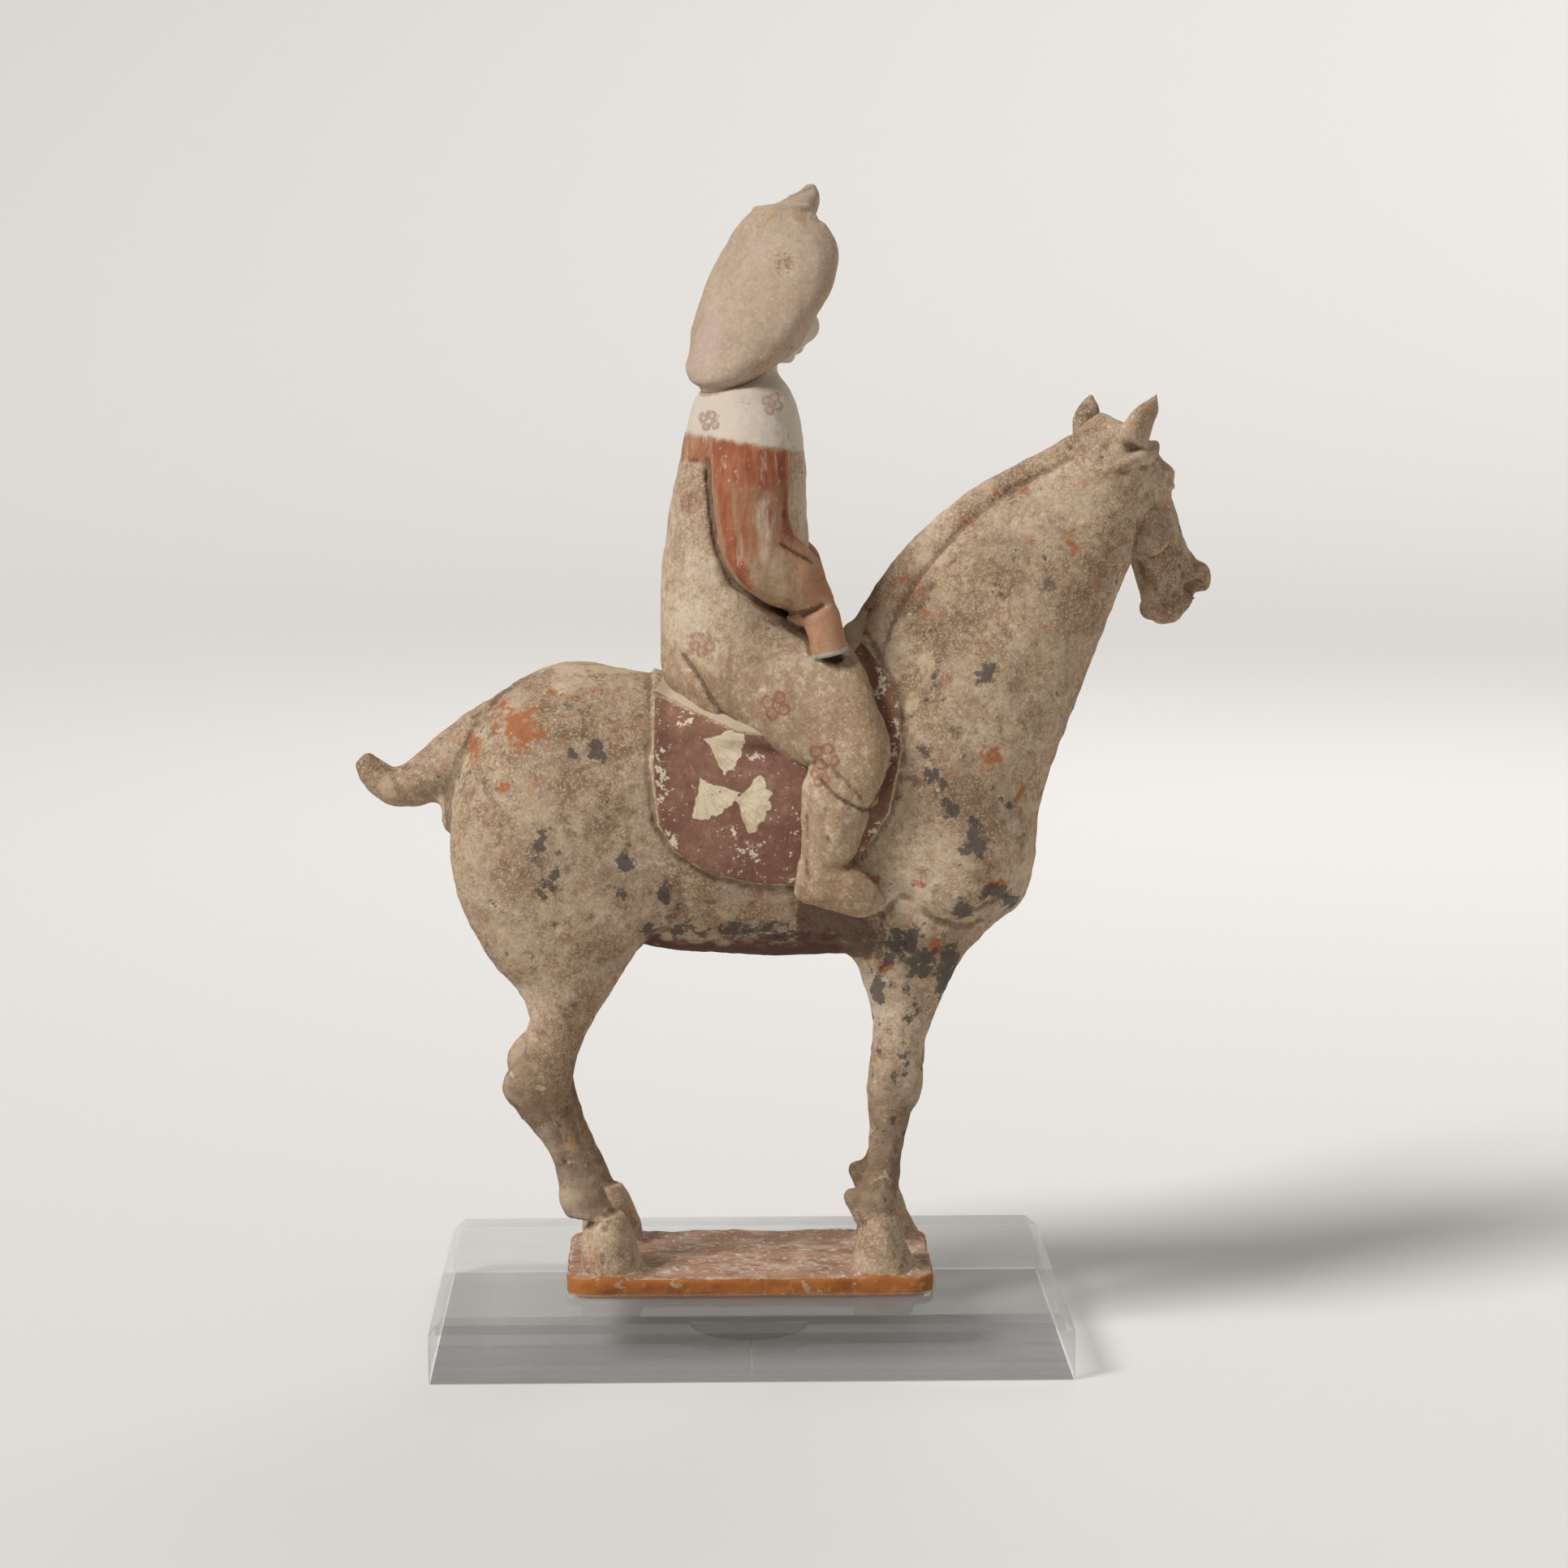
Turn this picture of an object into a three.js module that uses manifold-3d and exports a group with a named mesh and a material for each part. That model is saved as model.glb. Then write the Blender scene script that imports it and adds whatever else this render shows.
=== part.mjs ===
// A painted pottery horse and rider on its own low clay slab, which is let into a clear acrylic plinth.
// Millimetres. +X is where the horse faces, +Y is its left side and +Z is up.
// The origin is at the middle of the plinth's underside.

import * as THREE from 'three';
import { ParametricGeometry } from 'three/addons/geometries/ParametricGeometry.js';
import { mergeVertices } from 'three/addons/utils/BufferGeometryUtils.js';
import Module from 'manifold-3d';

const wasm = await Module();
wasm.setup();

// Sizes that can be set by themselves.
const figureHeight = 359;     // from the top of the slab to the tip of the rider's topknot
const slabLength = 122;
const slabDepth = 64;
const slabThickness = 7;
const slabCorner = 9;         // radius of the slab's corners
const plinthLength = 209;
const plinthDepth = 137;
const plinthHeight = 21;
const plinthBevel = 4.3;      // how far the polished bevel runs in and down
const recessDepth = 2;        // how deep the slab is let into the plinth
const recessClearance = 0.5;  // the gap round the slab in its recess
const forwardOnPlinth = 5;    // how far the slab sits in front of the plinth's middle, towards -Y
const clothThickness = 1.8;   // how far the saddle cloth stands off the horse
const hoofSink = 2;           // how far the hooves are pressed into the slab
const horseHeadTurn = 42;     // degrees to the horse's left
const riderHeadTurn = 43;     // degrees to the rider's left
const farForeForward = 2.9;   // how far the far fore leg stands in front of the near one
const farHindBack = 0.7;      // how far the far hind leg stands behind the near one

// The pose is modelled in thousandths of the figure's height, with z counted from the top of the slab.
const share = figureHeight / 1000;
const slabBottom = plinthHeight - recessDepth;

// A station is [edge x, edge z, other edge x, other edge z, side, half width, lean].
// The section is an oval between the two edges. A lean above 0 makes it wider towards the first edge.
const trunkStations = [
  [-266, 470, -266, 392, 0, 48, 0],
  [-246, 514, -250, 345, 0, 76, 0],
  [-212, 544, -214, 316, 0, 96, 0],
  [-165, 560, -165, 304, 0, 103, 0],
  [-112, 553, -112, 298, 0, 103, 0],
  [-55, 544, -55, 291, 0, 101, -0.05],
  [5, 541, 5, 289, 0, 101, -0.08],
  [62, 548, 62, 288, 0, 101, -0.1],
  [112, 566, 115, 290, 0, 100, -0.14],
  [160, 560, 162, 299, 0, 96, -0.16],
  [208, 520, 208, 312, 0, 84, -0.1],
  [240, 470, 238, 332, 0, 60, 0],
];

const neckStations = [
  [20, 470, 216, 320, 0, 78, -0.1],
  [45, 515, 249, 342, 0, 86, -0.15],
  [66, 555, 263, 384, 0, 88, -0.25],
  [92, 590, 269, 424, 0, 84, -0.33],
  [112, 618, 281, 464, 0, 76, -0.38],
  [128, 643, 294, 498, 0, 69, -0.38],
  [147, 665, 306, 530, 0, 61, -0.36],
  [172, 690, 318, 566, 0, 54, -0.34],
  [202, 711, 331, 602, 0, 48, -0.3],
  [232, 729, 345, 634, 0, 43, -0.26],
  [262, 746, 356, 660, 0, 40, -0.2],
  [291, 763, 364, 690, 0, 37, -0.1],
  [316, 776, 366, 722, 0, 33, 0],
];

const maneStations = [
  [92, 592, 118, 570, 0, 15, 0],
  [123, 640, 152, 612, 0, 17, 0],
  [154, 677, 182, 645, 0, 18, 0],
  [197, 714, 222, 680, 0, 18, 0],
  [244, 741, 266, 708, 0, 18, 0],
  [289, 766, 306, 735, 0, 17, 0],
  [322, 785, 334, 756, 0, 14, 0],
];

const headStations = [
  [330, 786, 312, 738, 0, 26, 0],
  [362, 772, 322, 712, 0, 33, 0.1],
  [383, 750, 332, 688, 0, 37, 0.15],
  [398, 730, 345, 668, 0, 34, 0.05],
  [409, 711, 360, 660, 0, 28, -0.05],
  [423, 690, 374, 648, 0, 22, -0.1],
  [437, 670, 382, 624, 0, 18, -0.1],
  [449, 655, 388, 606, 0, 18, -0.05],
  [458, 642, 398, 595, 0, 19, 0.05],
  [455, 628, 408, 590, 0, 18, 0],
  [440, 612, 418, 592, 0, 13, 0],
];

const hindLegStations = [
  [-112, 448, -252, 452, 42, 38, 0],
  [-90, 404, -273, 410, 50, 46, 0],
  [-83, 358, -271, 366, 55, 47, 0],
  [-84, 326, -254, 323, 58, 41, 0],
  [-104, 299, -235, 290, 58, 35, 0],
  [-125, 266, -213, 264, 57, 29, 0],
  [-143, 238, -202, 236, 56, 25, 0],
  [-157, 208, -208, 208, 56, 22, 0],
  [-164, 178, -224, 174, 56, 21, 0],
  [-162, 150, -213, 151, 56, 18, 0],
  [-156, 125, -195, 127, 56, 15, 0],
  [-147, 102, -182, 104, 56, 14, 0],
  [-137, 80, -176, 82, 56, 15, 0],
  [-126, 54, -172, 57, 56, 18, 0],
];

const hindHoofStations = [
  [-118, 54, -144, 52, 56, 20, 0],
  [-111, 42, -151, 42, 56, 27, 0],
  [-105, 26, -156, 27, 56, 30, 0],
  [-98, 0, -156, 0, 56, 33, 0],
];

const foreLegStations = [
  [214, 440, 108, 440, 44, 40, 0],
  [230, 396, 92, 392, 50, 46, 0],
  [230, 350, 90, 345, 54, 46, 0],
  [212, 316, 94, 306, 55, 41, 0],
  [192, 288, 102, 280, 55, 33, 0],
  [173, 247, 111, 245, 54, 26, 0],
  [162, 212, 112, 211, 54, 22, 0],
  [156, 171, 109, 171, 54, 22, 0],
  [147, 140, 111, 141, 54, 18, 0],
  [141, 110, 110, 110, 54, 15, 0],
  [139, 84, 104, 84, 54, 15, 0],
  [138, 64, 92, 61, 54, 17, 0],
  [135, 48, 96, 46, 54, 15, 0],
];

const foreHoofStations = [
  [132, 54, 108, 54, 54, 18, 0],
  [139, 43, 102, 43, 54, 25, 0],
  [144, 26, 98, 26, 54, 29, 0],
  [157, 0, 94, 0, 54, 33, 0],
];

const tailStations = [
  [-226, 522, -236, 455, 0, 27, 0],
  [-252, 516, -262, 448, 0, 28, 0],
  [-281, 498, -284, 436, 0, 26, 0],
  [-300, 481, -302, 429, 0, 23, 0],
  [-316, 468, -320, 427, 0, 20, 0],
  [-328, 464, -337, 431, 0, 17, 0],
  [-338, 469, -354, 446, 0, 14, 0],
  [-347, 475, -362, 462, 0, 11, 0],
];

const earStations = [
  [350, 760, 318, 770, 29, 10, 0],
  [353, 776, 321, 783, 32, 10, 0],
  [357, 791, 333, 796, 36, 8, 0],
  [354, 804, 347, 805, 39, 3, 0],
];

const forelockStations = [
  [378, 764, 368, 748, 0, 9, 0],
  [370, 764, 360, 744, 22, 9, 0],
  [352, 762, 346, 743, 31, 9, 0],
  [333, 757, 330, 741, 33, 8, 0],
  [317, 751, 315, 740, 32, 6, 0],
];

const saddleStations = [
  [-80, 541, -78, 480, 0, 66, -0.3],
  [-56, 556, -56, 470, 0, 78, -0.3],
  [10, 560, 10, 470, 0, 86, -0.3],
  [66, 572, 70, 478, 0, 84, -0.4],
  [94, 598, 106, 500, 0, 66, -0.5],
  [107, 596, 122, 520, 0, 44, -0.5],
];

const robeStations = [
  [60, 528, -70, 528, 0, 84, 0],
  [66, 560, -78, 556, 0, 86, 0],
  [66, 592, -80, 588, 0, 82, 0],
  [64, 622, -81, 618, 0, 76, 0],
  [58, 650, -79, 648, 0, 72, 0],
  [55, 680, -75, 678, 0, 70, 0],
  [53, 709, -71, 708, 0, 70, 0],
  [53, 739, -65, 737, 0, 72, 0],
  [51, 768, -59, 767, 0, 74, 0],
  [47, 790, -54, 786, 0, 70, 0],
  [39, 811, -47, 806, 0, 54, 0],
  [30, 824, -38, 815, 0, 36, 0],
];

const sleeveStations = [
  [8, 806, -24, 802, 40, 12, 0],
  [24, 792, -30, 788, 56, 24, 0],
  [36, 768, -36, 766, 69, 30, 0],
  [36, 740, -36, 738, 77, 31, 0],
  [35, 712, -33, 711, 82, 30, 0],
  [38, 690, -29, 676, 84, 29, 0],
  [50, 676, -20, 646, 84, 28, 0],
  [64, 660, 4, 622, 81, 27, 0],
  [72, 640, 30, 608, 76, 25, 0],
  [75, 630, 42, 602, 73, 23, 0],
];

const cuffStations = [
  [64, 642, 32, 616, 76, 18, 0],
  [78, 616, 50, 597, 69, 18, 0],
  [90, 580, 61, 572, 60, 19, 0],
];

const thighStations = [
  [56, 612, -74, 552, 28, 52, 0],
  [78, 604, -48, 528, 48, 50, 0],
  [98, 590, -8, 502, 70, 45, 0],
  [114, 564, 40, 478, 87, 39, 0],
  [128, 532, 66, 466, 97, 34, 0],
  [135, 500, 88, 448, 102, 29, 0],
  [133, 474, 106, 440, 104, 22, 0],
];

const shinStations = [
  [116, 478, 46, 492, 103, 24, 0],
  [110, 446, 45, 454, 107, 25, 0],
  [101, 412, 46, 416, 110, 23, 0],
  [89, 388, 46, 385, 111, 20, 0],
  [84, 366, 46, 358, 110, 17, 0],
];

const shoeStations = [
  [48, 394, 44, 358, 110, 14, 0],
  [70, 398, 62, 350, 112, 18, 0],
  [94, 388, 88, 343, 113, 18, 0],
  [110, 373, 104, 342, 113, 14, 0],
];

// The rider's head is modelled facing +X and then turned.
const hairStations = [
  [-24, 814, -50, 814, 0, 20, 0],
  [-10, 822, -57, 820, 0, 32, 0],
  [12, 834, -55, 832, 0, 46, 0],
  [30, 848, -46, 846, 0, 58, 0],
  [44, 868, -37, 865, 0, 67, 0],
  [56, 888, -26, 885, 0, 71, 0],
  [68, 908, -14, 907, 0, 72, 0],
  [78, 930, -3, 929, 0, 68, 0],
  [80, 947, 5, 945, 0, 59, 0],
  [77, 962, 11, 960, 0, 46, 0],
  [68, 974, 19, 973, 0, 31, 0],
];

const topknotStations = [
  [78, 968, 40, 970, 0, 20, 0],
  [82, 978, 42, 980, 0, 17, 0],
  [84, 988, 54, 986, 0, 12, 0],
  [81, 996, 71, 993, 0, 6, 0],
];

const faceStations = [
  [44, 838, 0, 838, 0, 18, 0],
  [60, 848, 0, 848, 0, 30, 0],
  [65, 862, 0, 862, 0, 39, 0],
  [66, 880, 0, 880, 0, 44, 0],
  [66, 900, 0, 900, 0, 43, 0],
  [66, 920, 2, 920, 0, 38, 0],
  [60, 934, 6, 934, 0, 26, 0],
];

const neckOfRiderStations = [
  [26, 790, -30, 790, 0, 34, 0],
  [24, 822, -26, 822, 0, 28, 0],
  [34, 850, -20, 850, 0, 28, 0],
];

// The saddle cloth's outline seen from the side, clockwise from its top back corner.
const clothOutline = [
  [-88, 560], [-90, 473], [-84, 425], [-69, 399], [-40, 380], [4, 369], [52, 368],
  [101, 396], [125, 435], [137, 491], [135, 530], [106, 590],
];

// Turns a closed geometry into a solid, with its faces pointing outwards.
function solidOf(geometry) {
  const bare = geometry.index ? geometry.toNonIndexed() : geometry.clone();
  bare.deleteAttribute('normal');
  bare.deleteAttribute('uv');
  const sameCorner = 1e-4;
  const merged = mergeVertices(bare, sameCorner);
  const corners = merged.index.array;
  const kept = [];
  for (let i = 0; i < corners.length; i += 3) {
    const [a, b, c] = [corners[i], corners[i + 1], corners[i + 2]];
    if (a !== b && b !== c && c !== a) kept.push(a, b, c);
  }
  const make = (list) => new wasm.Manifold(new wasm.Mesh({
    numProp: 3,
    vertProperties: new Float32Array(merged.attributes.position.array),
    triVerts: new Uint32Array(list),
  }));
  const made = make(kept);
  return made.volume() > 0 ? made : make(kept.slice().reverse());
}

// Lays an oval through each station and closes both ends with a low dome.
function limb(stations, options = {}) {
  const { sides = 9, domeRings = 1, dome = 6, side = 1, grow = 0, turn = null } = options;
  const first = stations.map((s) => new THREE.Vector3(s[0], side * s[4], s[1]));
  const other = stations.map((s) => new THREE.Vector3(s[2], side * s[4], s[3]));
  const widths = stations.map((s) => new THREE.Vector3(s[5], s[6], 0));
  const [firstCurve, otherCurve, widthCurve] = [first, other, widths]
    .map((points) => new THREE.CatmullRomCurve3(points, false, 'catmullrom', 0.5));
  const along = stations.length - 1;
  const rings = along + 2 * domeRings;
  const centreAt = (t) => firstCurve.getPoint(t).add(otherCurve.getPoint(t)).multiplyScalar(0.5);
  const shortStep = 0.02;
  const startWay = centreAt(0).sub(centreAt(shortStep)).normalize();
  const endWay = centreAt(1).sub(centreAt(1 - shortStep)).normalize();

  const geometry = new ParametricGeometry((u, v, target) => {
    const ring = THREE.MathUtils.clamp(v, 0, 1) * rings;
    const t = THREE.MathUtils.clamp((ring - domeRings) / along, 0, 1);
    const beyond = Math.max(domeRings - ring, ring - domeRings - along, 0) / domeRings;
    const angle = beyond * Math.PI / 2;
    const centre = centreAt(t);
    const half = firstCurve.getPoint(t).sub(centre);
    const width = widthCurve.getPoint(t);
    const round = u * 2 * Math.PI;
    half.setLength(half.length() + grow);
    target.copy(centre).addScaledVector(half, Math.cos(angle) * Math.cos(round));
    target.y += (width.x + grow) * (1 + width.y * Math.cos(round)) * Math.cos(angle) * Math.sin(round);
    target.addScaledVector(ring < domeRings ? startWay : endWay, (dome + grow) * Math.sin(angle));
  }, sides, rings);
  return solidOf(place(geometry, turn));
}

// An oval lump of clay at a place, tilted about the Y axis by an angle in degrees.
function lump([x, y, z], [radiusX, radiusY, radiusZ], { tilt = 0, turn = null, sides = 12 } = {}) {
  const geometry = new THREE.SphereGeometry(1, sides, Math.round(sides * 0.7));
  geometry.scale(radiusX, radiusY, radiusZ).rotateY(THREE.MathUtils.degToRad(tilt)).translate(x, y, z);
  return solidOf(place(geometry, turn));
}

// Turns a geometry about a vertical line, if asked to, and brings it to millimetres on the plinth.
function place(geometry, turn) {
  if (turn) {
    geometry.translate(-turn.x, 0, 0)
      .rotateZ(THREE.MathUtils.degToRad(turn.degrees))
      .translate(turn.x, 0, 0);
  }
  return geometry.scale(share, share, share).translate(0, -forwardOnPlinth, slabBottom + slabThickness);
}

const bothSides = (make) => [make(-1), make(1)];
const join = (solids) => solids.reduce((whole, piece) => whole.add(piece));

const horseTurn = { x: 330, degrees: horseHeadTurn };
const riderTurn = { x: 0, degrees: riderHeadTurn };

function horseBody() {
  return [
    limb(trunkStations, { sides: 20, domeRings: 2, dome: 12 }),
    limb(neckStations, { sides: 15 }),
    limb(maneStations, { sides: 8, dome: 5 }),
    limb(tailStations, { domeRings: 2, dome: 6 }),
    ...bothSides((side) => lump([200, side * 50, 380], [52, 44, 64])),
  ];
}

function horseHead() {
  return [
    limb(headStations, { sides: 14, domeRings: 2, dome: 5, turn: horseTurn }),
    ...bothSides((side) => limb(forelockStations, { sides: 8, dome: 6, side, turn: horseTurn })),
    ...bothSides((side) => limb(earStations, { sides: 8, dome: 4, side, turn: horseTurn })),
    ...bothSides((side) => lump([364, side * 20, 684], [28, 15, 30], { turn: horseTurn })),
    ...bothSides((side) => lump([376, side * 26, 724], [13, 11, 12], { turn: horseTurn, sides: 8 })),
    ...bothSides((side) => lump([446, side * 14, 634], [13, 10, 16], { turn: horseTurn, sides: 8 })),
  ];
}

// The flared nostrils and the slit of the mouth are hollow.
function hollows() {
  return [
    ...bothSides((side) => lump([434, side * 25, 623], [13, 12, 11], { turn: horseTurn, sides: 8 })),
    ...bothSides((side) => lump([443, side * 20, 610], [18, 9, 3], { turn: horseTurn, sides: 8 })),
  ];
}

// A hoof's outline carries on down into the slab.
function hoof(stations, side) {
  const [frontX, , backX, , y, halfWidth, lean] = stations.at(-1);
  const pressed = [frontX, -hoofSink / share, backX, -hoofSink / share, y, halfWidth, lean];
  return limb([...stations, pressed], { side, dome: 0.5 });
}

// The far legs stand a little wider apart, fore and aft, than the near ones.
function legs(side) {
  const hindShift = side > 0 ? -farHindBack / share : 0;
  const foreShift = side > 0 ? farForeForward / share : 0;
  const moved = (stations, by) =>
    stations.map(([x, z, otherX, ...others]) => [x + by, z, otherX + by, ...others]);
  return [
    limb(moved(hindLegStations, hindShift), { side }),
    hoof(moved(hindHoofStations, hindShift), side),
    limb(moved(foreLegStations, foreShift), { side }),
    hoof(moved(foreHoofStations, foreShift), side),
  ];
}

function riderBody() {
  return [
    limb(robeStations, { sides: 16 }),
    limb(neckOfRiderStations, { dome: 4 }),
    ...bothSides((side) => limb(sleeveStations, { side })),
    ...bothSides((side) => limb(cuffStations, { side })),
    ...bothSides((side) => limb(thighStations, { side, dome: 4 })),
    ...bothSides((side) => limb(shinStations, { side, dome: 4 })),
    ...bothSides((side) => limb(shoeStations, { side, sides: 8, dome: 5 })),
  ];
}

function riderHead() {
  const turn = riderTurn;
  const feature = (at, radii, tilt = 0) => lump(at, radii, { tilt, turn, sides: 8 });
  return [
    limb(hairStations, { sides: 16, domeRings: 2, turn }),
    limb(topknotStations, { domeRings: 2, dome: 3, turn }),
    limb(faceStations, { sides: 12, turn }),
    feature([67, 0, 897], [7, 4.5, 15], -14),
    feature([71, 0, 889], [6, 7.5, 5.5]),
    feature([66, 0, 872], [5, 9, 2.6]),
    feature([65, 0, 866.5], [5, 7, 3]),
    feature([60, 0, 853], [9, 12, 8]),
    ...bothSides((side) => feature([56, side * 25, 874], [14, 15, 17])),
    ...bothSides((side) => feature([63, side * 18, 899], [6, 10, 4.5])),
  ];
}

// The cloth is the horse's own trunk, a little larger, kept only inside the cloth's outline.
function saddleAndCloth() {
  const outline = new THREE.Shape();
  const [start, ...rest] = clothOutline;
  outline.moveTo(...start);
  outline.splineThru(rest.map(([x, z]) => new THREE.Vector2(x, z)));
  outline.lineTo(...start);
  const across = 260;
  const settings = { depth: across, bevelEnabled: false, curveSegments: 3 };
  const cutter = new THREE.ExtrudeGeometry(outline, settings)
    .rotateX(Math.PI / 2)
    .translate(0, across / 2, 0);
  const cutterSolid = solidOf(place(cutter, null));
  const over = limb(trunkStations, { sides: 20, domeRings: 2, dome: 12, grow: clothThickness / share });
  return [over.intersect(cutterSolid), limb(saddleStations, { sides: 12, dome: 4 })];
}

// A rounded rectangle, centred under the figure, pushed up from a height.
function roundedSlab(length, depth, corner, thickness, bottom) {
  const [halfLength, halfDepth] = [length / 2, depth / 2];
  const outline = new THREE.Shape();
  outline.moveTo(-halfLength + corner, -halfDepth);
  outline.lineTo(halfLength - corner, -halfDepth);
  outline.absarc(halfLength - corner, -halfDepth + corner, corner, -Math.PI / 2, 0);
  outline.lineTo(halfLength, halfDepth - corner);
  outline.absarc(halfLength - corner, halfDepth - corner, corner, 0, Math.PI / 2);
  outline.lineTo(-halfLength + corner, halfDepth);
  outline.absarc(-halfLength + corner, halfDepth - corner, corner, Math.PI / 2, Math.PI);
  outline.lineTo(-halfLength, -halfDepth + corner);
  outline.absarc(-halfLength + corner, -halfDepth + corner, corner, Math.PI, Math.PI * 1.5);
  const settings = { depth: thickness, bevelEnabled: false, curveSegments: 5 };
  const geometry = new THREE.ExtrudeGeometry(outline, settings);
  return solidOf(geometry.translate(0, -forwardOnPlinth, bottom));
}

// The plinth is a block with its upper edges bevelled, and a recess cut to the slab's outline.
function plinth() {
  const straight = plinthHeight - plinthBevel;
  const block = new THREE.BoxGeometry(plinthLength, plinthDepth, straight).translate(0, 0, straight / 2);
  const bevelled = new THREE.BoxGeometry(plinthLength, plinthDepth, plinthBevel);
  const corners = bevelled.attributes.position;
  for (let i = 0; i < corners.count; i++) {
    if (corners.getZ(i) < 0) continue;
    corners.setX(i, corners.getX(i) - Math.sign(corners.getX(i)) * plinthBevel);
    corners.setY(i, corners.getY(i) - Math.sign(corners.getY(i)) * plinthBevel);
  }
  bevelled.translate(0, 0, straight + plinthBevel / 2);
  const recess = roundedSlab(
    slabLength + 2 * recessClearance,
    slabDepth + 2 * recessClearance,
    slabCorner + recessClearance,
    recessDepth * 2,
    slabBottom,
  );
  return solidOf(block).add(solidOf(bevelled)).subtract(recess);
}

function meshOf(name, solid, material) {
  const { vertProperties, triVerts } = solid.getMesh();
  const geometry = new THREE.BufferGeometry()
    .setAttribute('position', new THREE.BufferAttribute(vertProperties, 3))
    .setIndex(new THREE.BufferAttribute(triVerts, 1));
  geometry.computeVertexNormals();
  const mesh = new THREE.Mesh(geometry, material);
  mesh.name = name;
  return mesh;
}

const paintedPottery = new THREE.MeshStandardMaterial({ color: 0xa3917a, roughness: 0.95, metalness: 0 });
const clearAcrylic = new THREE.MeshStandardMaterial({
  color: 0xf2f5f5,
  roughness: 0.05,
  metalness: 0,
  transparent: true,
  opacity: 0.3,
});

const solidFigure = join([
  roundedSlab(slabLength, slabDepth, slabCorner, slabThickness, slabBottom),
  ...horseBody(),
  ...horseHead(),
  ...legs(-1),
  ...legs(1),
  ...saddleAndCloth(),
  ...riderBody(),
  ...riderHead(),
]);
const figure = solidFigure.subtract(join(hollows()));

const object = new THREE.Group();
object.add(meshOf('horse_and_rider', figure, paintedPottery));
object.add(meshOf('acrylic_plinth', plinth(), clearAcrylic));

export default object;
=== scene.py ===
import bpy
import numpy as np
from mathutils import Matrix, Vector


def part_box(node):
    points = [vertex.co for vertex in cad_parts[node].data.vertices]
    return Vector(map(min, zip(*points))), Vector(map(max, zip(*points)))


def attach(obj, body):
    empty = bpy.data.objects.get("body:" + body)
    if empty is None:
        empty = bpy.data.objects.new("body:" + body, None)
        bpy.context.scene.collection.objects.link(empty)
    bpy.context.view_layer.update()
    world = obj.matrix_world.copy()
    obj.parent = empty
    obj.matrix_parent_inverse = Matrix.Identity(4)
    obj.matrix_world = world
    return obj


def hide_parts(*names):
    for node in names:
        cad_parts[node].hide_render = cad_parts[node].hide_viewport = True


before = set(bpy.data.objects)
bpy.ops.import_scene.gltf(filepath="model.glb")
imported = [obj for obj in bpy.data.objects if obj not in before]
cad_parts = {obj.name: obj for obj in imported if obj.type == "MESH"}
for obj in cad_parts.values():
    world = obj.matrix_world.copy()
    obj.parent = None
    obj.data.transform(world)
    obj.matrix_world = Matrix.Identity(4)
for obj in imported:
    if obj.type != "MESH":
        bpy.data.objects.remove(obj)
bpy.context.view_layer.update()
figureLow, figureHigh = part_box("horse_and_rider")
plinthLow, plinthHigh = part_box("acrylic_plinth")

slab = {
    "thickness": 0.007,
    "length": 0.122,
    "depth": 0.064,
    "corner": 0.009,
    "forward": 0.005,             # the slab sits this far in front of the plinth's middle
    "rounding": 0.0011,
    "filletShare": 12,            # how far the clay is smeared up round the hooves, in thousandths
    "netStep": 0.0009,
}
slabTop = figureLow[2] + slab["thickness"]
knotTip = 997.2                   # the tip of the topknot, in thousandths
share = (figureHigh[2] - slabTop) / knotTip
millimetre = 0.001 / share        # one millimetre, in thousandths
fullTurn = 6.28                   # radians
print("frame loaded, a thousandth of the height is", round(share * 1000, 4), "mm")


# Soft forms are fields of distances, which join with a rounded seam. Lengths here are thousandths.

def throughPoints(points, steps):
    points = np.asarray(points, float)
    padded = np.vstack([2 * points[0] - points[1], points, 2 * points[-1] - points[-2]])
    t = np.linspace(0, 1, steps, endpoint=False)[:, None]
    spans = []
    for i in range(len(points) - 1):
        a, b, c, d = padded[i:i + 4]
        spans.append(b + 0.5 * t * (c - a + t * (2 * a - 5 * b + 4 * c - d + t * (3 * b - a - 3 * c + d))))
    return np.vstack(spans + [points[-1:]])


def makeLadder(stations, side=1, forward=0, steps=26):
    rows = throughPoints(stations, steps)
    ends = np.stack([rows[:, 0] + forward, rows[:, 1], rows[:, 2] + forward, rows[:, 3]])
    centre = (ends[:2] + ends[2:]) / 2
    half = (ends[:2] - ends[2:]) / 2
    reach = np.maximum(np.hypot(*half), 0.5)
    across = half / reach
    along = np.stack([-across[1], across[0]])
    travel = np.gradient(centre, axis=1)
    along *= np.where((along * travel).sum(axis=0) < 0, -1, 1)
    return {"centre": centre, "reach": reach, "across": across, "along": along,
            "side": rows[:, 4] * side, "width": rows[:, 5], "lean": rows[:, 6]}


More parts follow.
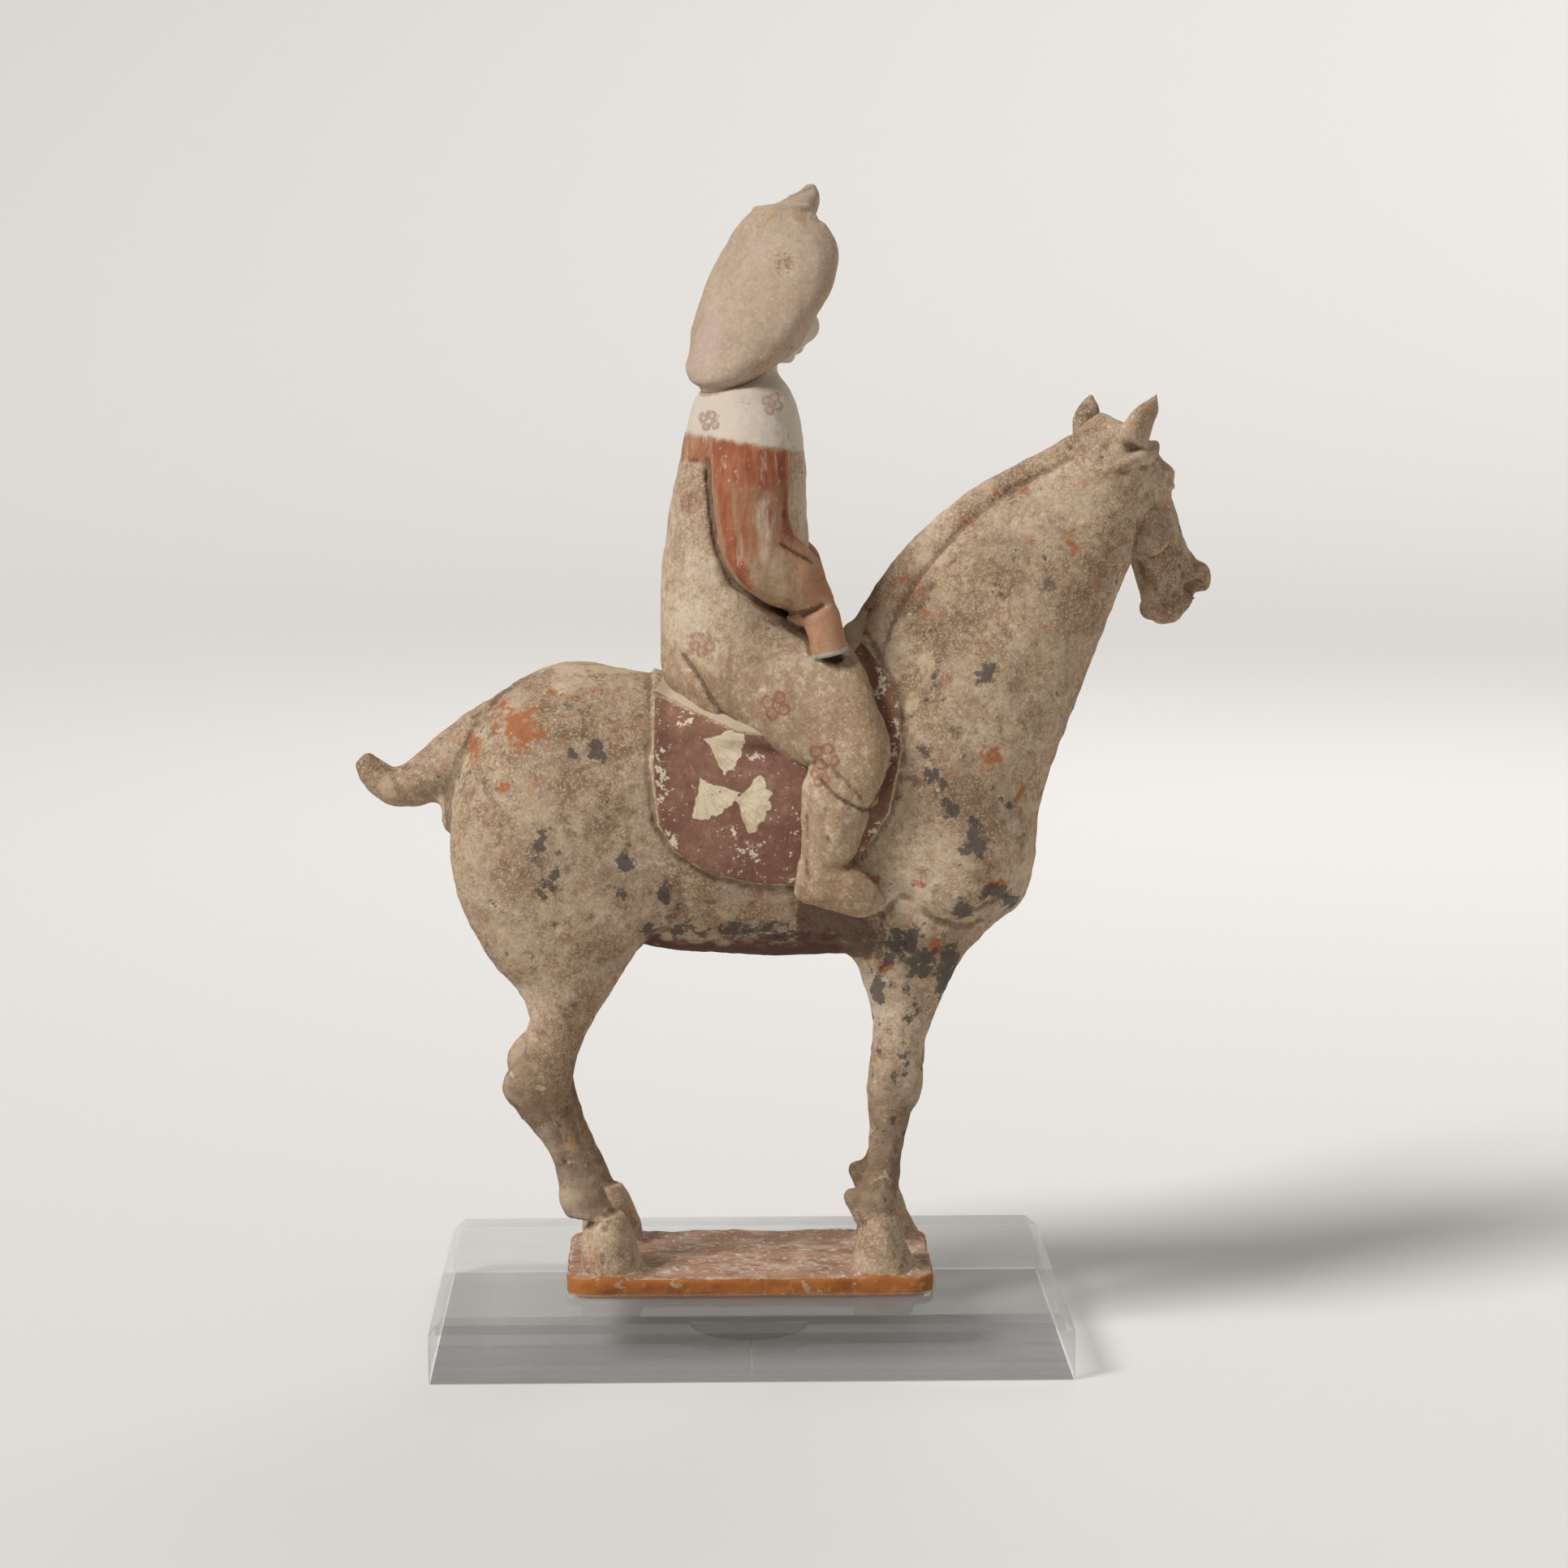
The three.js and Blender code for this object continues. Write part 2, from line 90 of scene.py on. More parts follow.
def nearestRung(ladder, x, z):
    x, z = np.broadcast_arrays(x, z)
    shape = x.shape
    flatX, flatZ = x.ravel().astype(np.float32), z.ravel().astype(np.float32)
    parts = {key: np.asarray(ladder[key], np.float32) for key in ladder}
    count = len(parts["reach"])
    picked = np.empty(len(flatX), int)
    heldAtOnce = 6_000_000        # keeps the arrays small enough for the memory
    chunk = max(1, heldAtOnce // count)
    for start in range(0, len(flatX), chunk):
        stop = start + chunk
        dx = flatX[start:stop, None] - parts["centre"][0]
        dz = flatZ[start:stop, None] - parts["centre"][1]
        u = np.abs(dx * parts["across"][0] + dz * parts["across"][1])
        w = dx * parts["along"][0] + dz * parts["along"][1]
        over = np.maximum(u - parts["reach"], 0)
        picked[start:stop] = np.argmin(over * over + w * w, axis=1)
    dx = flatX - parts["centre"][0][picked]
    dz = flatZ - parts["centre"][1][picked]
    u = dx * parts["across"][0][picked] + dz * parts["across"][1][picked]
    w = dx * parts["along"][0][picked] + dz * parts["along"][1][picked]
    rungGap = 1.6
    between = np.sign(w) * np.maximum(np.abs(w) - rungGap, 0)
    beyond = np.where(picked == 0, np.minimum(w, between),
                      np.where(picked == count - 1, np.maximum(w, between), between))
    found = [u, beyond] + [parts[key][picked] for key in ("reach", "side", "width", "lean")]
    return [item.reshape(shape) for item in found]


def ovalDistance(u, v, w, a, b, c):
    near = np.sqrt((u / a) ** 2 + (v / b) ** 2 + (w / c) ** 2)
    slope = np.sqrt((u / a ** 2) ** 2 + (v / b ** 2) ** 2 + (w / c ** 2) ** 2)
    return near * (near - 1) / np.maximum(slope, 1e-3)


def unturned(x, y, turn):
    if not turn:
        return x, y
    angle = np.radians(turn["degrees"])
    dx = x - turn["x"]
    return turn["x"] + dx * np.cos(angle) + y * np.sin(angle), y * np.cos(angle) - dx * np.sin(angle)


def turnedBox(low, high, turn):
    if not turn:
        return low, high
    middle, half = (low + high) / 2, (high - low) / 2
    angle = np.radians(turn["degrees"])
    dx, y = middle[0] - turn["x"], middle[1]
    middle = np.array([turn["x"] + dx * np.cos(angle) - y * np.sin(angle),
                       dx * np.sin(angle) + y * np.cos(angle), middle[2]])
    flat = np.hypot(half[0], half[1])
    return middle - [flat, flat, half[2]], middle + [flat, flat, half[2]]


def limb(stations, dome=6, side=1, forward=0, turn=None, grow=0):
    ladder = makeLadder(stations, side, forward)
    reach = ladder["reach"].max() + ladder["width"].max() + dome + grow
    low = np.array([ladder["centre"][0].min(), 0, ladder["centre"][1].min()]) - reach
    high = np.array([ladder["centre"][0].max(), 0, ladder["centre"][1].max()]) + reach
    low[1], high[1] = ladder["side"].min() - reach, ladder["side"].max() + reach

    def distance(x, y, z):
        x, y = unturned(x, y, turn)
        u, w, a, middle, b, lean = nearestRung(ladder, x, z)
        a = a + grow
        b = (b + grow) * (1 + lean * np.clip(u / a, -1, 1))
        around = ovalDistance(u, y - middle, 0, a, b, 1)
        edge = dome + grow
        capped = np.hypot(np.maximum(around + edge, 0), w) - edge
        return np.where(w == 0, around, capped)
    return distance, turnedBox(low, high, turn)


def lump(at, radii, tilt=0, side=1, turn=None):
    lean = np.radians(tilt)

    def distance(x, y, z):
        x, y = unturned(x, y, turn)
        dx, dz = x - at[0], z - at[2]
        u = dx * np.cos(lean) - dz * np.sin(lean)
        w = dx * np.sin(lean) + dz * np.cos(lean)
        return ovalDistance(u, y - side * at[1], w, *radii)
    middle = np.array([at[0], side * at[1], at[2]], float)
    return distance, turnedBox(middle - max(radii), middle + max(radii), turn)


def emptyClay(low, high, step):
    axes = [np.arange(a, b + step, step, dtype=np.float32) for a, b in zip(low, high)]
    farOutside = 90
    return {"axes": axes, "step": step, "field": np.full([len(a) for a in axes], farOutside, np.float32)}


def clayWindow(clay, low, high, margin):
    cuts = []
    for axis, a, b in zip(clay["axes"], low, high):
        cuts.append(slice(np.searchsorted(axis, a - margin), np.searchsorted(axis, b + margin)))
    x, y, z = [axis[cut] for axis, cut in zip(clay["axes"], cuts)]
    return tuple(cuts), x[:, None, None], y[None, :, None], z[None, None, :]


def press(clay, form, blend, cut=False):
    distance, (low, high) = form
    spare = 4
    window, x, y, z = clayWindow(clay, low, high, blend + spare)
    old = clay["field"][window]
    if not old.size:
        return
    new = distance(x, y, z)
    if cut:
        mix = np.clip(0.5 - 0.5 * (old + new) / blend, 0, 1)
        clay["field"][window] = old + (-new - old) * mix + blend * mix * (1 - mix)
        return
    mix = np.clip(0.5 + 0.5 * (old - new) / blend, 0, 1)
    clay["field"][window] = old + (new - old) * mix - blend * mix * (1 - mix)


def pathDistance(points, x, z, closed=False):
    points = np.asarray(points, float)
    ends = np.vstack([points, points[:1]]) if closed else points
    nearest = np.full(np.broadcast(x, z).shape, 1e9)
    for a, b in zip(ends[:-1], ends[1:]):
        run = b - a
        t = np.clip(((x - a[0]) * run[0] + (z - a[1]) * run[1]) / max(run @ run, 1e-9), 0, 1)
        nearest = np.minimum(nearest, (x - a[0] - t * run[0]) ** 2 + (z - a[1] - t * run[1]) ** 2)
    return np.sqrt(nearest)


def insideOutline(points, x, z):
    points = np.asarray(points, float)
    inside = np.zeros(np.broadcast(x, z).shape, bool)
    for a, b in zip(points, np.roll(points, -1, axis=0)):
        if a[1] == b[1]:
            continue
        crosses = ((a[1] > z) != (b[1] > z)) & (x < (b[0] - a[0]) * (z - a[1]) / (b[1] - a[1]) + a[0])
        inside ^= crosses
    return pathDistance(points, x, z, closed=True) * np.where(inside, 1, -1)


# Draws a tool along a line seen from the side, on what lies between near and far out from the middle.
# A depth below 0 raises a ridge instead.
def carve(clay, points, width, depth, side=-1, turn=None, near=0, far=150):
    path = throughPoints(points, 8)
    pastTheSides = 150
    low = np.array([path[:, 0].min(), -pastTheSides, path[:, 1].min()])
    high = np.array([path[:, 0].max(), pastTheSides, path[:, 1].max()])
    window, x, y, z = clayWindow(clay, *turnedBox(low, high, turn), 3 * width)
    x, y = unturned(x, y, turn)
    t = np.linspace(0, 1, len(path))
    taper = np.minimum(1, 4 * np.minimum(t, 1 - t) + 0.35)
    groove = 0
    for a, b, strength in zip(path[:-1], path[1:], taper):
        nearest = pathDistance([a, b], x, z)
        groove = np.maximum(groove, strength * np.exp(-(nearest / width) ** 2))
    out = y * side
    reached = softStep(out, near - 4, near + 4) if near else out > 0
    clay["field"][window] += (depth * groove * reached * (out < far)).astype(np.float32)


def waves(x, y, z, size, seed, count=7):
    random = np.random.default_rng(seed)
    total = 0
    for _ in range(count):
        way = random.normal(size=3)
        way *= 2 * np.pi / (size * random.uniform(0.7, 1.5) * np.linalg.norm(way))
        total = total + np.sin(way[0] * x + way[1] * y + way[2] * z + random.uniform(0, fullTurn))
    return total / np.sqrt(count)


def handWork(clay, size, depth, seed):
    x, y, z = np.meshgrid(*clay["axes"], indexing="ij", sparse=True)
    skinDepth = 12
    near = np.abs(clay["field"]) < skinDepth
    at = np.nonzero(near)
    spots = [axis.ravel()[index] for axis, index in zip((x, y, z), at)]
    clay["field"][near] += (depth * waves(*spots, size, seed)).astype(np.float32)


# The field's zero surface as an even net of four-sided faces.

def sample(clay, points):
    field, step = clay["field"], clay["step"]
    at = [(points[:, i] - clay["axes"][i][0]) / step for i in range(3)]
    cell = [np.clip(np.floor(a).astype(int), 0, n - 2) for a, n in zip(at, field.shape)]
    part = [np.clip(a - c, 0, 1) for a, c in zip(at, cell)]
    total = 0
    for i in (0, 1):
        for j in (0, 1):
            for k in (0, 1):
                weight = [p if bit else 1 - p for p, bit in zip(part, (i, j, k))]
                corner = field[cell[0] + i, cell[1] + j, cell[2] + k]
                total = total + weight[0] * weight[1] * weight[2] * corner
    return total


def slopeAt(clay, points, reach):
    gaps = [sample(clay, points + d) - sample(clay, points - d) for d in np.eye(3) * reach]
    return np.stack(gaps, axis=1) / (2 * reach)


def hollowAt(clay, points, reach):
    around = sum(sample(clay, points + d) + sample(clay, points - d) for d in np.eye(3) * reach)
    return np.clip(-(around - 6 * sample(clay, points)) / reach, -1, 1)


def castNet(clay):
    field, step = clay["field"], clay["step"]
    solid = field < 0
    cells = np.array(field.shape) - 1
    corners, places, quads = [], [], []
    for axis in range(3):
        lower = [slice(None)] * 3
        upper = [slice(None)] * 3
        lower[axis] = slice(0, -1)
        upper[axis] = slice(1, None)
        first, second = solid[tuple(lower)], solid[tuple(upper)]
        at = np.stack(np.nonzero(first != second), axis=1)
        a = field[tuple(lower)][tuple(at.T)]
        b = field[tuple(upper)][tuple(at.T)]
        place = at.astype(float)
        place[:, axis] += a / (a - b)
        one, two = (axis + 1) % 3, (axis + 2) % 3
        ring = []
        for shiftOne, shiftTwo in ((0, 0), (-1, 0), (-1, -1), (0, -1)):
            cell = at.copy()
            cell[:, one] += shiftOne
            cell[:, two] += shiftTwo
            index = (cell[:, 0] * cells[1] + cell[:, 1]) * cells[2] + cell[:, 2]
            ring.append(index)
            corners.append(index)
            places.append(place)
        ring = np.stack(ring, axis=1)
        outward = first[tuple(at.T)]
        quads.append(np.where(outward[:, None], ring, ring[:, ::-1]))
    corners, places = np.concatenate(corners), np.concatenate(places)
    used, back = np.unique(corners, return_inverse=True)
    back = back.ravel()
    count = np.bincount(back)
    middle = np.stack([np.bincount(back, places[:, i]) / count for i in range(3)], axis=1)
    points = middle * step + [axis[0] for axis in clay["axes"]]
    quads = np.searchsorted(used, np.concatenate(quads))
    farthestMove = 0.4 * step
    for _ in range(2):
        slope = slopeAt(clay, points, step * 0.5)
        steep = np.maximum((slope ** 2).sum(axis=1), 0.05)
        move = -slope * (sample(clay, points) / steep)[:, None]
        points += np.clip(move, -farthestMove, farthestMove)
    return points, quads


def addAttribute(piece, name, values):
    layer = piece.data.attributes.new(name, "FLOAT", "POINT")
    layer.data.foreach_set("value", np.asarray(values, np.float32))


def toMesh(name, points, quads):
    mesh = bpy.data.meshes.new(name)
    placed = points * share + [0, -slab["forward"], slabTop]
    mesh.vertices.add(len(placed))
    mesh.vertices.foreach_set("co", placed.astype(np.float32).ravel())
    mesh.loops.add(quads.size)
    mesh.loops.foreach_set("vertex_index", quads.astype(np.int32).ravel())
    mesh.polygons.add(len(quads))
    mesh.polygons.foreach_set("loop_start", np.arange(0, quads.size, 4, dtype=np.int32))
    mesh.polygons.foreach_set("use_smooth", np.ones(len(quads), bool))
    mesh.update(calc_edges=True)
    mesh.validate()
    piece = bpy.data.objects.new(name, mesh)
    bpy.context.collection.objects.link(piece)
    return piece


def softStep(values, low, high):
    t = np.clip((values - low) / (high - low), 0, 1)
    return t * t * (3 - 2 * t)


# Soft round stains. A spot is [x, z, half width, half height, strength]. The far side gets them moved along.
def stains(points, spots, farShift=31):
    x = points[:, 0] + farShift * (points[:, 1] > 0)
    total = np.zeros(len(points))
    for atX, atZ, wide, high, strength in spots:
        away = ((x - atX) / wide) ** 2 + ((points[:, 2] - atZ) / high) ** 2
        total = np.maximum(total, strength * np.exp(-away))
    return total


# The horse. A station is [edge x, edge z, other edge x, other edge z, side, half width, lean].
# The section is an oval between the two edges. A lean above 0 makes it wider towards the first edge.

horse = {
    "netStep": 1.24 * millimetre,
    "netBox": ((-380, -118, -8), (452, 130, 818)),
    "headTurn": {"x": 330, "degrees": 42},
    "farForeForward": 8,
    "farHindBack": 2,
    "clothLift": 1.6 * millimetre,
    "clothLip": 0.5 * millimetre,
    "trunk": [
        [-277, 448, -277, 404, 0, 24, 0],
        [-266, 478, -268, 382, 0, 50, 0],
        [-246, 514, -250, 345, 0, 76, 0],
        [-212, 544, -214, 316, 0, 96, 0],
        [-165, 560, -165, 304, 0, 103, 0],
        [-112, 553, -112, 298, 0, 103, 0],
        [-55, 544, -55, 291, 0, 101, -0.05],
        [5, 541, 5, 289, 0, 101, -0.08],
        [62, 548, 62, 288, 0, 101, -0.1],
        [112, 566, 115, 290, 0, 100, -0.14],
        [160, 560, 162, 299, 0, 96, -0.16],
        [208, 520, 208, 312, 0, 84, -0.1],
        [240, 470, 238, 332, 0, 60, 0],
    ],
    "neck": [
        [20, 470, 216, 320, 0, 78, -0.1],
        [45, 515, 249, 342, 0, 86, -0.15],
        [66, 555, 263, 384, 0, 88, -0.25],
        [92, 590, 269, 424, 0, 84, -0.33],
        [112, 618, 281, 464, 0, 76, -0.38],
        [128, 643, 294, 498, 0, 69, -0.38],
        [147, 665, 306, 530, 0, 61, -0.36],
        [172, 690, 318, 566, 0, 54, -0.34],
        [202, 711, 331, 602, 0, 48, -0.3],
        [232, 729, 345, 634, 0, 43, -0.26],
        [262, 746, 356, 660, 0, 40, -0.2],
        [291, 763, 364, 690, 0, 37, -0.1],
        [316, 776, 366, 722, 0, 33, 0],
    ],
    "mane": [
        [92, 592, 118, 570, 0, 15, 0],
        [123, 640, 152, 612, 0, 17, 0],
        [154, 677, 182, 645, 0, 18, 0],
        [197, 714, 222, 680, 0, 18, 0],
        [244, 741, 266, 708, 0, 18, 0],
        [289, 766, 306, 735, 0, 17, 0],
        [322, 785, 334, 756, 0, 14, 0],
    ],
    "head": [
        [330, 786, 312, 738, 0, 26, 0],
        [362, 772, 322, 712, 0, 33, 0.1],
        [383, 750, 332, 688, 0, 37, 0.15],
        [398, 730, 345, 668, 0, 34, 0.05],
        [409, 711, 360, 660, 0, 28, -0.05],
        [423, 690, 374, 648, 0, 22, -0.1],
        [437, 670, 382, 624, 0, 18, -0.1],
        [449, 655, 388, 606, 0, 18, -0.05],
        [458, 642, 398, 595, 0, 19, 0.05],
        [455, 628, 408, 590, 0, 18, 0],
        [440, 612, 418, 592, 0, 13, 0],
    ],
    "forelock": [
        [378, 764, 368, 748, 0, 9, 0],
        [370, 764, 360, 744, 22, 9, 0],
        [352, 762, 346, 743, 31, 9, 0],
        [333, 757, 330, 741, 33, 8, 0],
        [317, 751, 315, 740, 32, 6, 0],
        [305, 743, 305, 739.5, 24, 4, 0],
    ],
    "ear": [
        [350, 760, 318, 770, 29, 10, 0],
        [353, 776, 321, 783, 32, 10, 0],
        [357, 791, 333, 796, 36, 8, 0],
        [354, 804, 347, 805, 39, 3, 0],
    ],
    "hindLeg": [
        [-112, 448, -252, 452, 42, 38, 0],
        [-90, 404, -273, 410, 50, 46, 0],
        [-83, 358, -271, 366, 55, 47, 0],
        [-84, 326, -254, 323, 58, 41, 0],
        [-104, 299, -235, 290, 58, 35, 0],
        [-125, 266, -213, 264, 57, 29, 0],
        [-143, 238, -202, 236, 56, 25, 0],
        [-157, 208, -208, 208, 56, 22, 0],
        [-164, 178, -224, 174, 56, 21, 0],
        [-162, 150, -213, 151, 56, 18, 0],
        [-156, 125, -195, 127, 56, 15, 0],
        [-147, 102, -182, 104, 56, 14, 0],
        [-137, 80, -176, 82, 56, 15, 0],
        [-126, 54, -172, 57, 56, 18, 0],
    ],
    "hindHoof": [
        [-118, 54, -144, 52, 56, 20, 0],
        [-111, 42, -151, 42, 56, 27, 0],
        [-105, 26, -156, 27, 56, 30, 0],
        [-98, 0, -156, 0, 56, 33, 0],
        [-98, -6, -156, -6, 56, 33, 0],
    ],
    "foreLeg": [
        [214, 440, 108, 440, 44, 40, 0],
        [230, 396, 92, 392, 50, 46, 0],
        [230, 350, 90, 345, 54, 46, 0],
        [212, 316, 94, 306, 55, 41, 0],
        [192, 288, 102, 280, 55, 33, 0],
        [173, 247, 111, 245, 54, 26, 0],
        [162, 212, 112, 211, 54, 22, 0],
        [156, 171, 109, 171, 54, 22, 0],
        [147, 140, 111, 141, 54, 18, 0],
        [141, 110, 110, 110, 54, 15, 0],
        [139, 84, 104, 84, 54, 15, 0],
        [138, 64, 92, 61, 54, 17, 0],
        [135, 48, 96, 46, 54, 15, 0],
    ],
    "foreHoof": [
        [132, 54, 108, 54, 54, 18, 0],
        [139, 43, 102, 43, 54, 25, 0],
        [144, 26, 98, 26, 54, 29, 0],
        [157, 0, 94, 0, 54, 33, 0],
        [157, -6, 94, -6, 54, 33, 0],
    ],
    "tail": [
        [-226, 522, -236, 455, 0, 27, 0],
        [-252, 516, -262, 448, 0, 28, 0],
        [-281, 498, -284, 436, 0, 26, 0],
        [-300, 481, -302, 429, 0, 23, 0],
        [-316, 468, -320, 427, 0, 20, 0],
        [-328, 464, -337, 431, 0, 17, 0],
        [-338, 469, -354, 446, 0, 14, 0],
        [-347, 475, -362, 462, 0, 11, 0],
    ],
    "saddle": [
        [-80, 541, -78, 480, 0, 66, -0.3],
        [-56, 556, -56, 470, 0, 78, -0.3],
        [10, 560, 10, 470, 0, 86, -0.3],
        [66, 572, 70, 478, 0, 84, -0.4],
        [94, 598, 106, 500, 0, 66, -0.5],
        [107, 596, 122, 520, 0, 44, -0.5],
    ],
    "clothOutline": [
        [-88, 560], [-90, 473], [-84, 425], [-69, 399], [-40, 380], [4, 369], [52, 368],
        [101, 396], [125, 435], [137, 491], [135, 530], [106, 590],
    ],
    "clothPaint": [
        [-86, 536], [-12, 506], [40, 500], [86, 562], [103, 583], [121, 561], [134, 530], [136, 491],
        [124, 436], [101, 398], [52, 370], [4, 371], [-40, 382], [-68, 401], [-82, 425], [-87, 473],
    ],
    "fans": [                     # apex x and z, the way it opens in degrees, half spread in degrees, radius
        [-42, 500, -20, 37, 37],
        [-46, 467, -61, 37, 38],
        [-15, 447, -12, 50, 33],
    ],
    "grooves": [                  # line, width and depth of what was drawn in the wet clay, on both sides
        ([[124, 576], [133, 602], [151, 634], [169, 657], [200, 690], [228, 712], [265, 734], [302, 753]],
         3.2, 4.5),
        ([[150, 606], [172, 640], [196, 664]], 3, 1.6),
        ([[-99, 304], [-82, 318], [-66, 342], [-60, 372]], 9, 4.5),
        ([[113, 330], [124, 344], [137, 357], [152, 350], [166, 337], [196, 328], [214, 334]], 7, 4.5),
        ([[204, 342], [220, 352], [238, 356]], 5, 4),
        ([[150, 352], [178, 356], [206, 352]], 12, -2.5),
        ([[-196, 196], [-190, 176], [-184, 150], [-172, 122], [-166, 98]], 4, 2.2),
        ([[122, 120], [120, 98], [116, 74]], 3, 1.4),
        ([[43, 366], [42, 345], [44, 318]], 2.2, 2),
        ([[-30, 352], [-41, 352]], 2.5, 3),
        ([[-178, 332], [-176, 334]], 3, 3.5),
        ([[-239, 437], [-237, 436]], 2.6, 3),
        ([[-232, 416], [-231, 414]], 2.6, 3),
        ([[-236, 540], [-203, 553], [-151, 558], [-90, 551]], 4, -1.2),
    ],
    "headGrooves": [
        ([[455, 617], [443, 619], [428, 626]], 2.4, 5),
        ([[336, 690], [342, 668], [356, 655], [374, 654], [388, 664], [394, 678]], 4, 3.5),
        ([[368, 725], [375, 730], [384, 728], [389, 721], [382, 716], [373, 718], [368, 725]], 1.8, 2.4),
        ([[364, 734], [375, 740], [388, 735]], 3.5, -2.5),
        ([[408, 690], [424, 668], [436, 652]], 4, -1.6),
        ([[420, 640], [424, 628], [420, 616]], 3, 2),
    ],
}


def layCloth(clay):
    outline = horse["clothOutline"]
    low = np.array([min(p[0] for p in outline), -140, min(p[1] for p in outline)])
    high = np.array([max(p[0] for p in outline), 140, max(p[1] for p in outline)])
    window, x, y, z = clayWindow(clay, low, high, 12)
    inside = insideOutline(outline, x, z)
    old = clay["field"][window]
    lip = horse["clothLip"] * np.exp(-((inside - 3) / 3) ** 2)
    cloth = np.maximum(old - horse["clothLift"] - lip, -inside)
    undercut = 2.2 * np.exp(-((inside + 2) / 2.2) ** 2) * (z < 470)
    clay["field"][window] = np.minimum(old + undercut, cloth).astype(np.float32)


def modelHorse():
    clay = emptyClay(*horse["netBox"], horse["netStep"])
    turn = horse["headTurn"]
    press(clay, limb(horse["trunk"], dome=5), 4)
    press(clay, limb(horse["neck"]), 26)
    for side in (-1, 1):
        press(clay, lump((200, 50, 380), (52, 64, 44), side=side), 30)
        hindShift = -horse["farHindBack"] * (side > 0)
        foreShift = horse["farForeForward"] * (side > 0)
        press(clay, limb(horse["hindLeg"], side=side, forward=hindShift), 24)
        press(clay, limb(horse["foreLeg"], side=side, forward=foreShift), 22)
        press(clay, lump((-212 + hindShift, 56, 180), (13, 17, 20), tilt=20, side=side), 8)
        press(clay, lump((148 + foreShift, 54, 178), (11, 20, 22), side=side), 9)
        press(clay, lump((98 + foreShift, 54, 66), (12, 13, 9), tilt=30, side=side), 6)
        press(clay, lump((-164 + hindShift, 56, 66), (11, 14, 10), tilt=30, side=side), 7)
        press(clay, limb(horse["hindHoof"], dome=1, side=side, forward=hindShift), 3)
        press(clay, limb(horse["foreHoof"], dome=1, side=side, forward=foreShift), 3)
    press(clay, limb(horse["tail"]), 16)
    layCloth(clay)
    press(clay, limb(horse["saddle"], dome=4), 4)
    press(clay, limb(horse["mane"], dome=5), 3)
    for line, width, depth in horse["grooves"]:
        for side in (-1, 1):
            carve(clay, line, width, depth, side)
    print("horse's body modelled")

    press(clay, limb(horse["head"], dome=5, turn=turn), 12)
    for side in (-1, 1):
        press(clay, lump((366, 22, 686), (27, 17, 30), side=side, turn=turn), 2)
        press(clay, lump((375, 25, 727), (16, 12, 14), side=side, turn=turn), 7)
        press(clay, lump((379, 31, 722), (7, 6, 6), side=side, turn=turn), 2)
        press(clay, lump((444, 14, 632), (15, 12, 17), side=side, turn=turn), 6)
        press(clay, lump((408, 12, 605), (13, 11, 12), side=side, turn=turn), 4)
    press(clay, lump((356, 0, 632), (30, 15, 26), tilt=-35, turn=turn), 5, cut=True)
    press(clay, lump((446, 0, 590), (28, 40, 22), turn=turn), 2, cut=True)
    for side in (-1, 1):
        press(clay, limb(horse["forelock"], dome=3, side=side, turn=turn), 2)
        press(clay, limb(horse["ear"], dome=4, side=side, turn=turn), 4)
        press(clay, lump((363, 27, 789), (7, 7, 12), side=side, turn=turn), 2, cut=True)
        press(clay, lump((434, 25, 623), (14, 14, 12), side=side, turn=turn), 2, cut=True)
    for line, width, depth in horse["headGrooves"]:
        for side in (-1, 1):
            carve(clay, line, width, depth, side, turn, near=8, far=46)
    handWork(clay, 70, 0.9, seed=3)
    handWork(clay, 20, 0.45, seed=4)
    handWork(clay, 9, 0.22, seed=5)
    print("horse's head modelled")
    return clay


# The rider. The head is modelled facing +X and then turned.

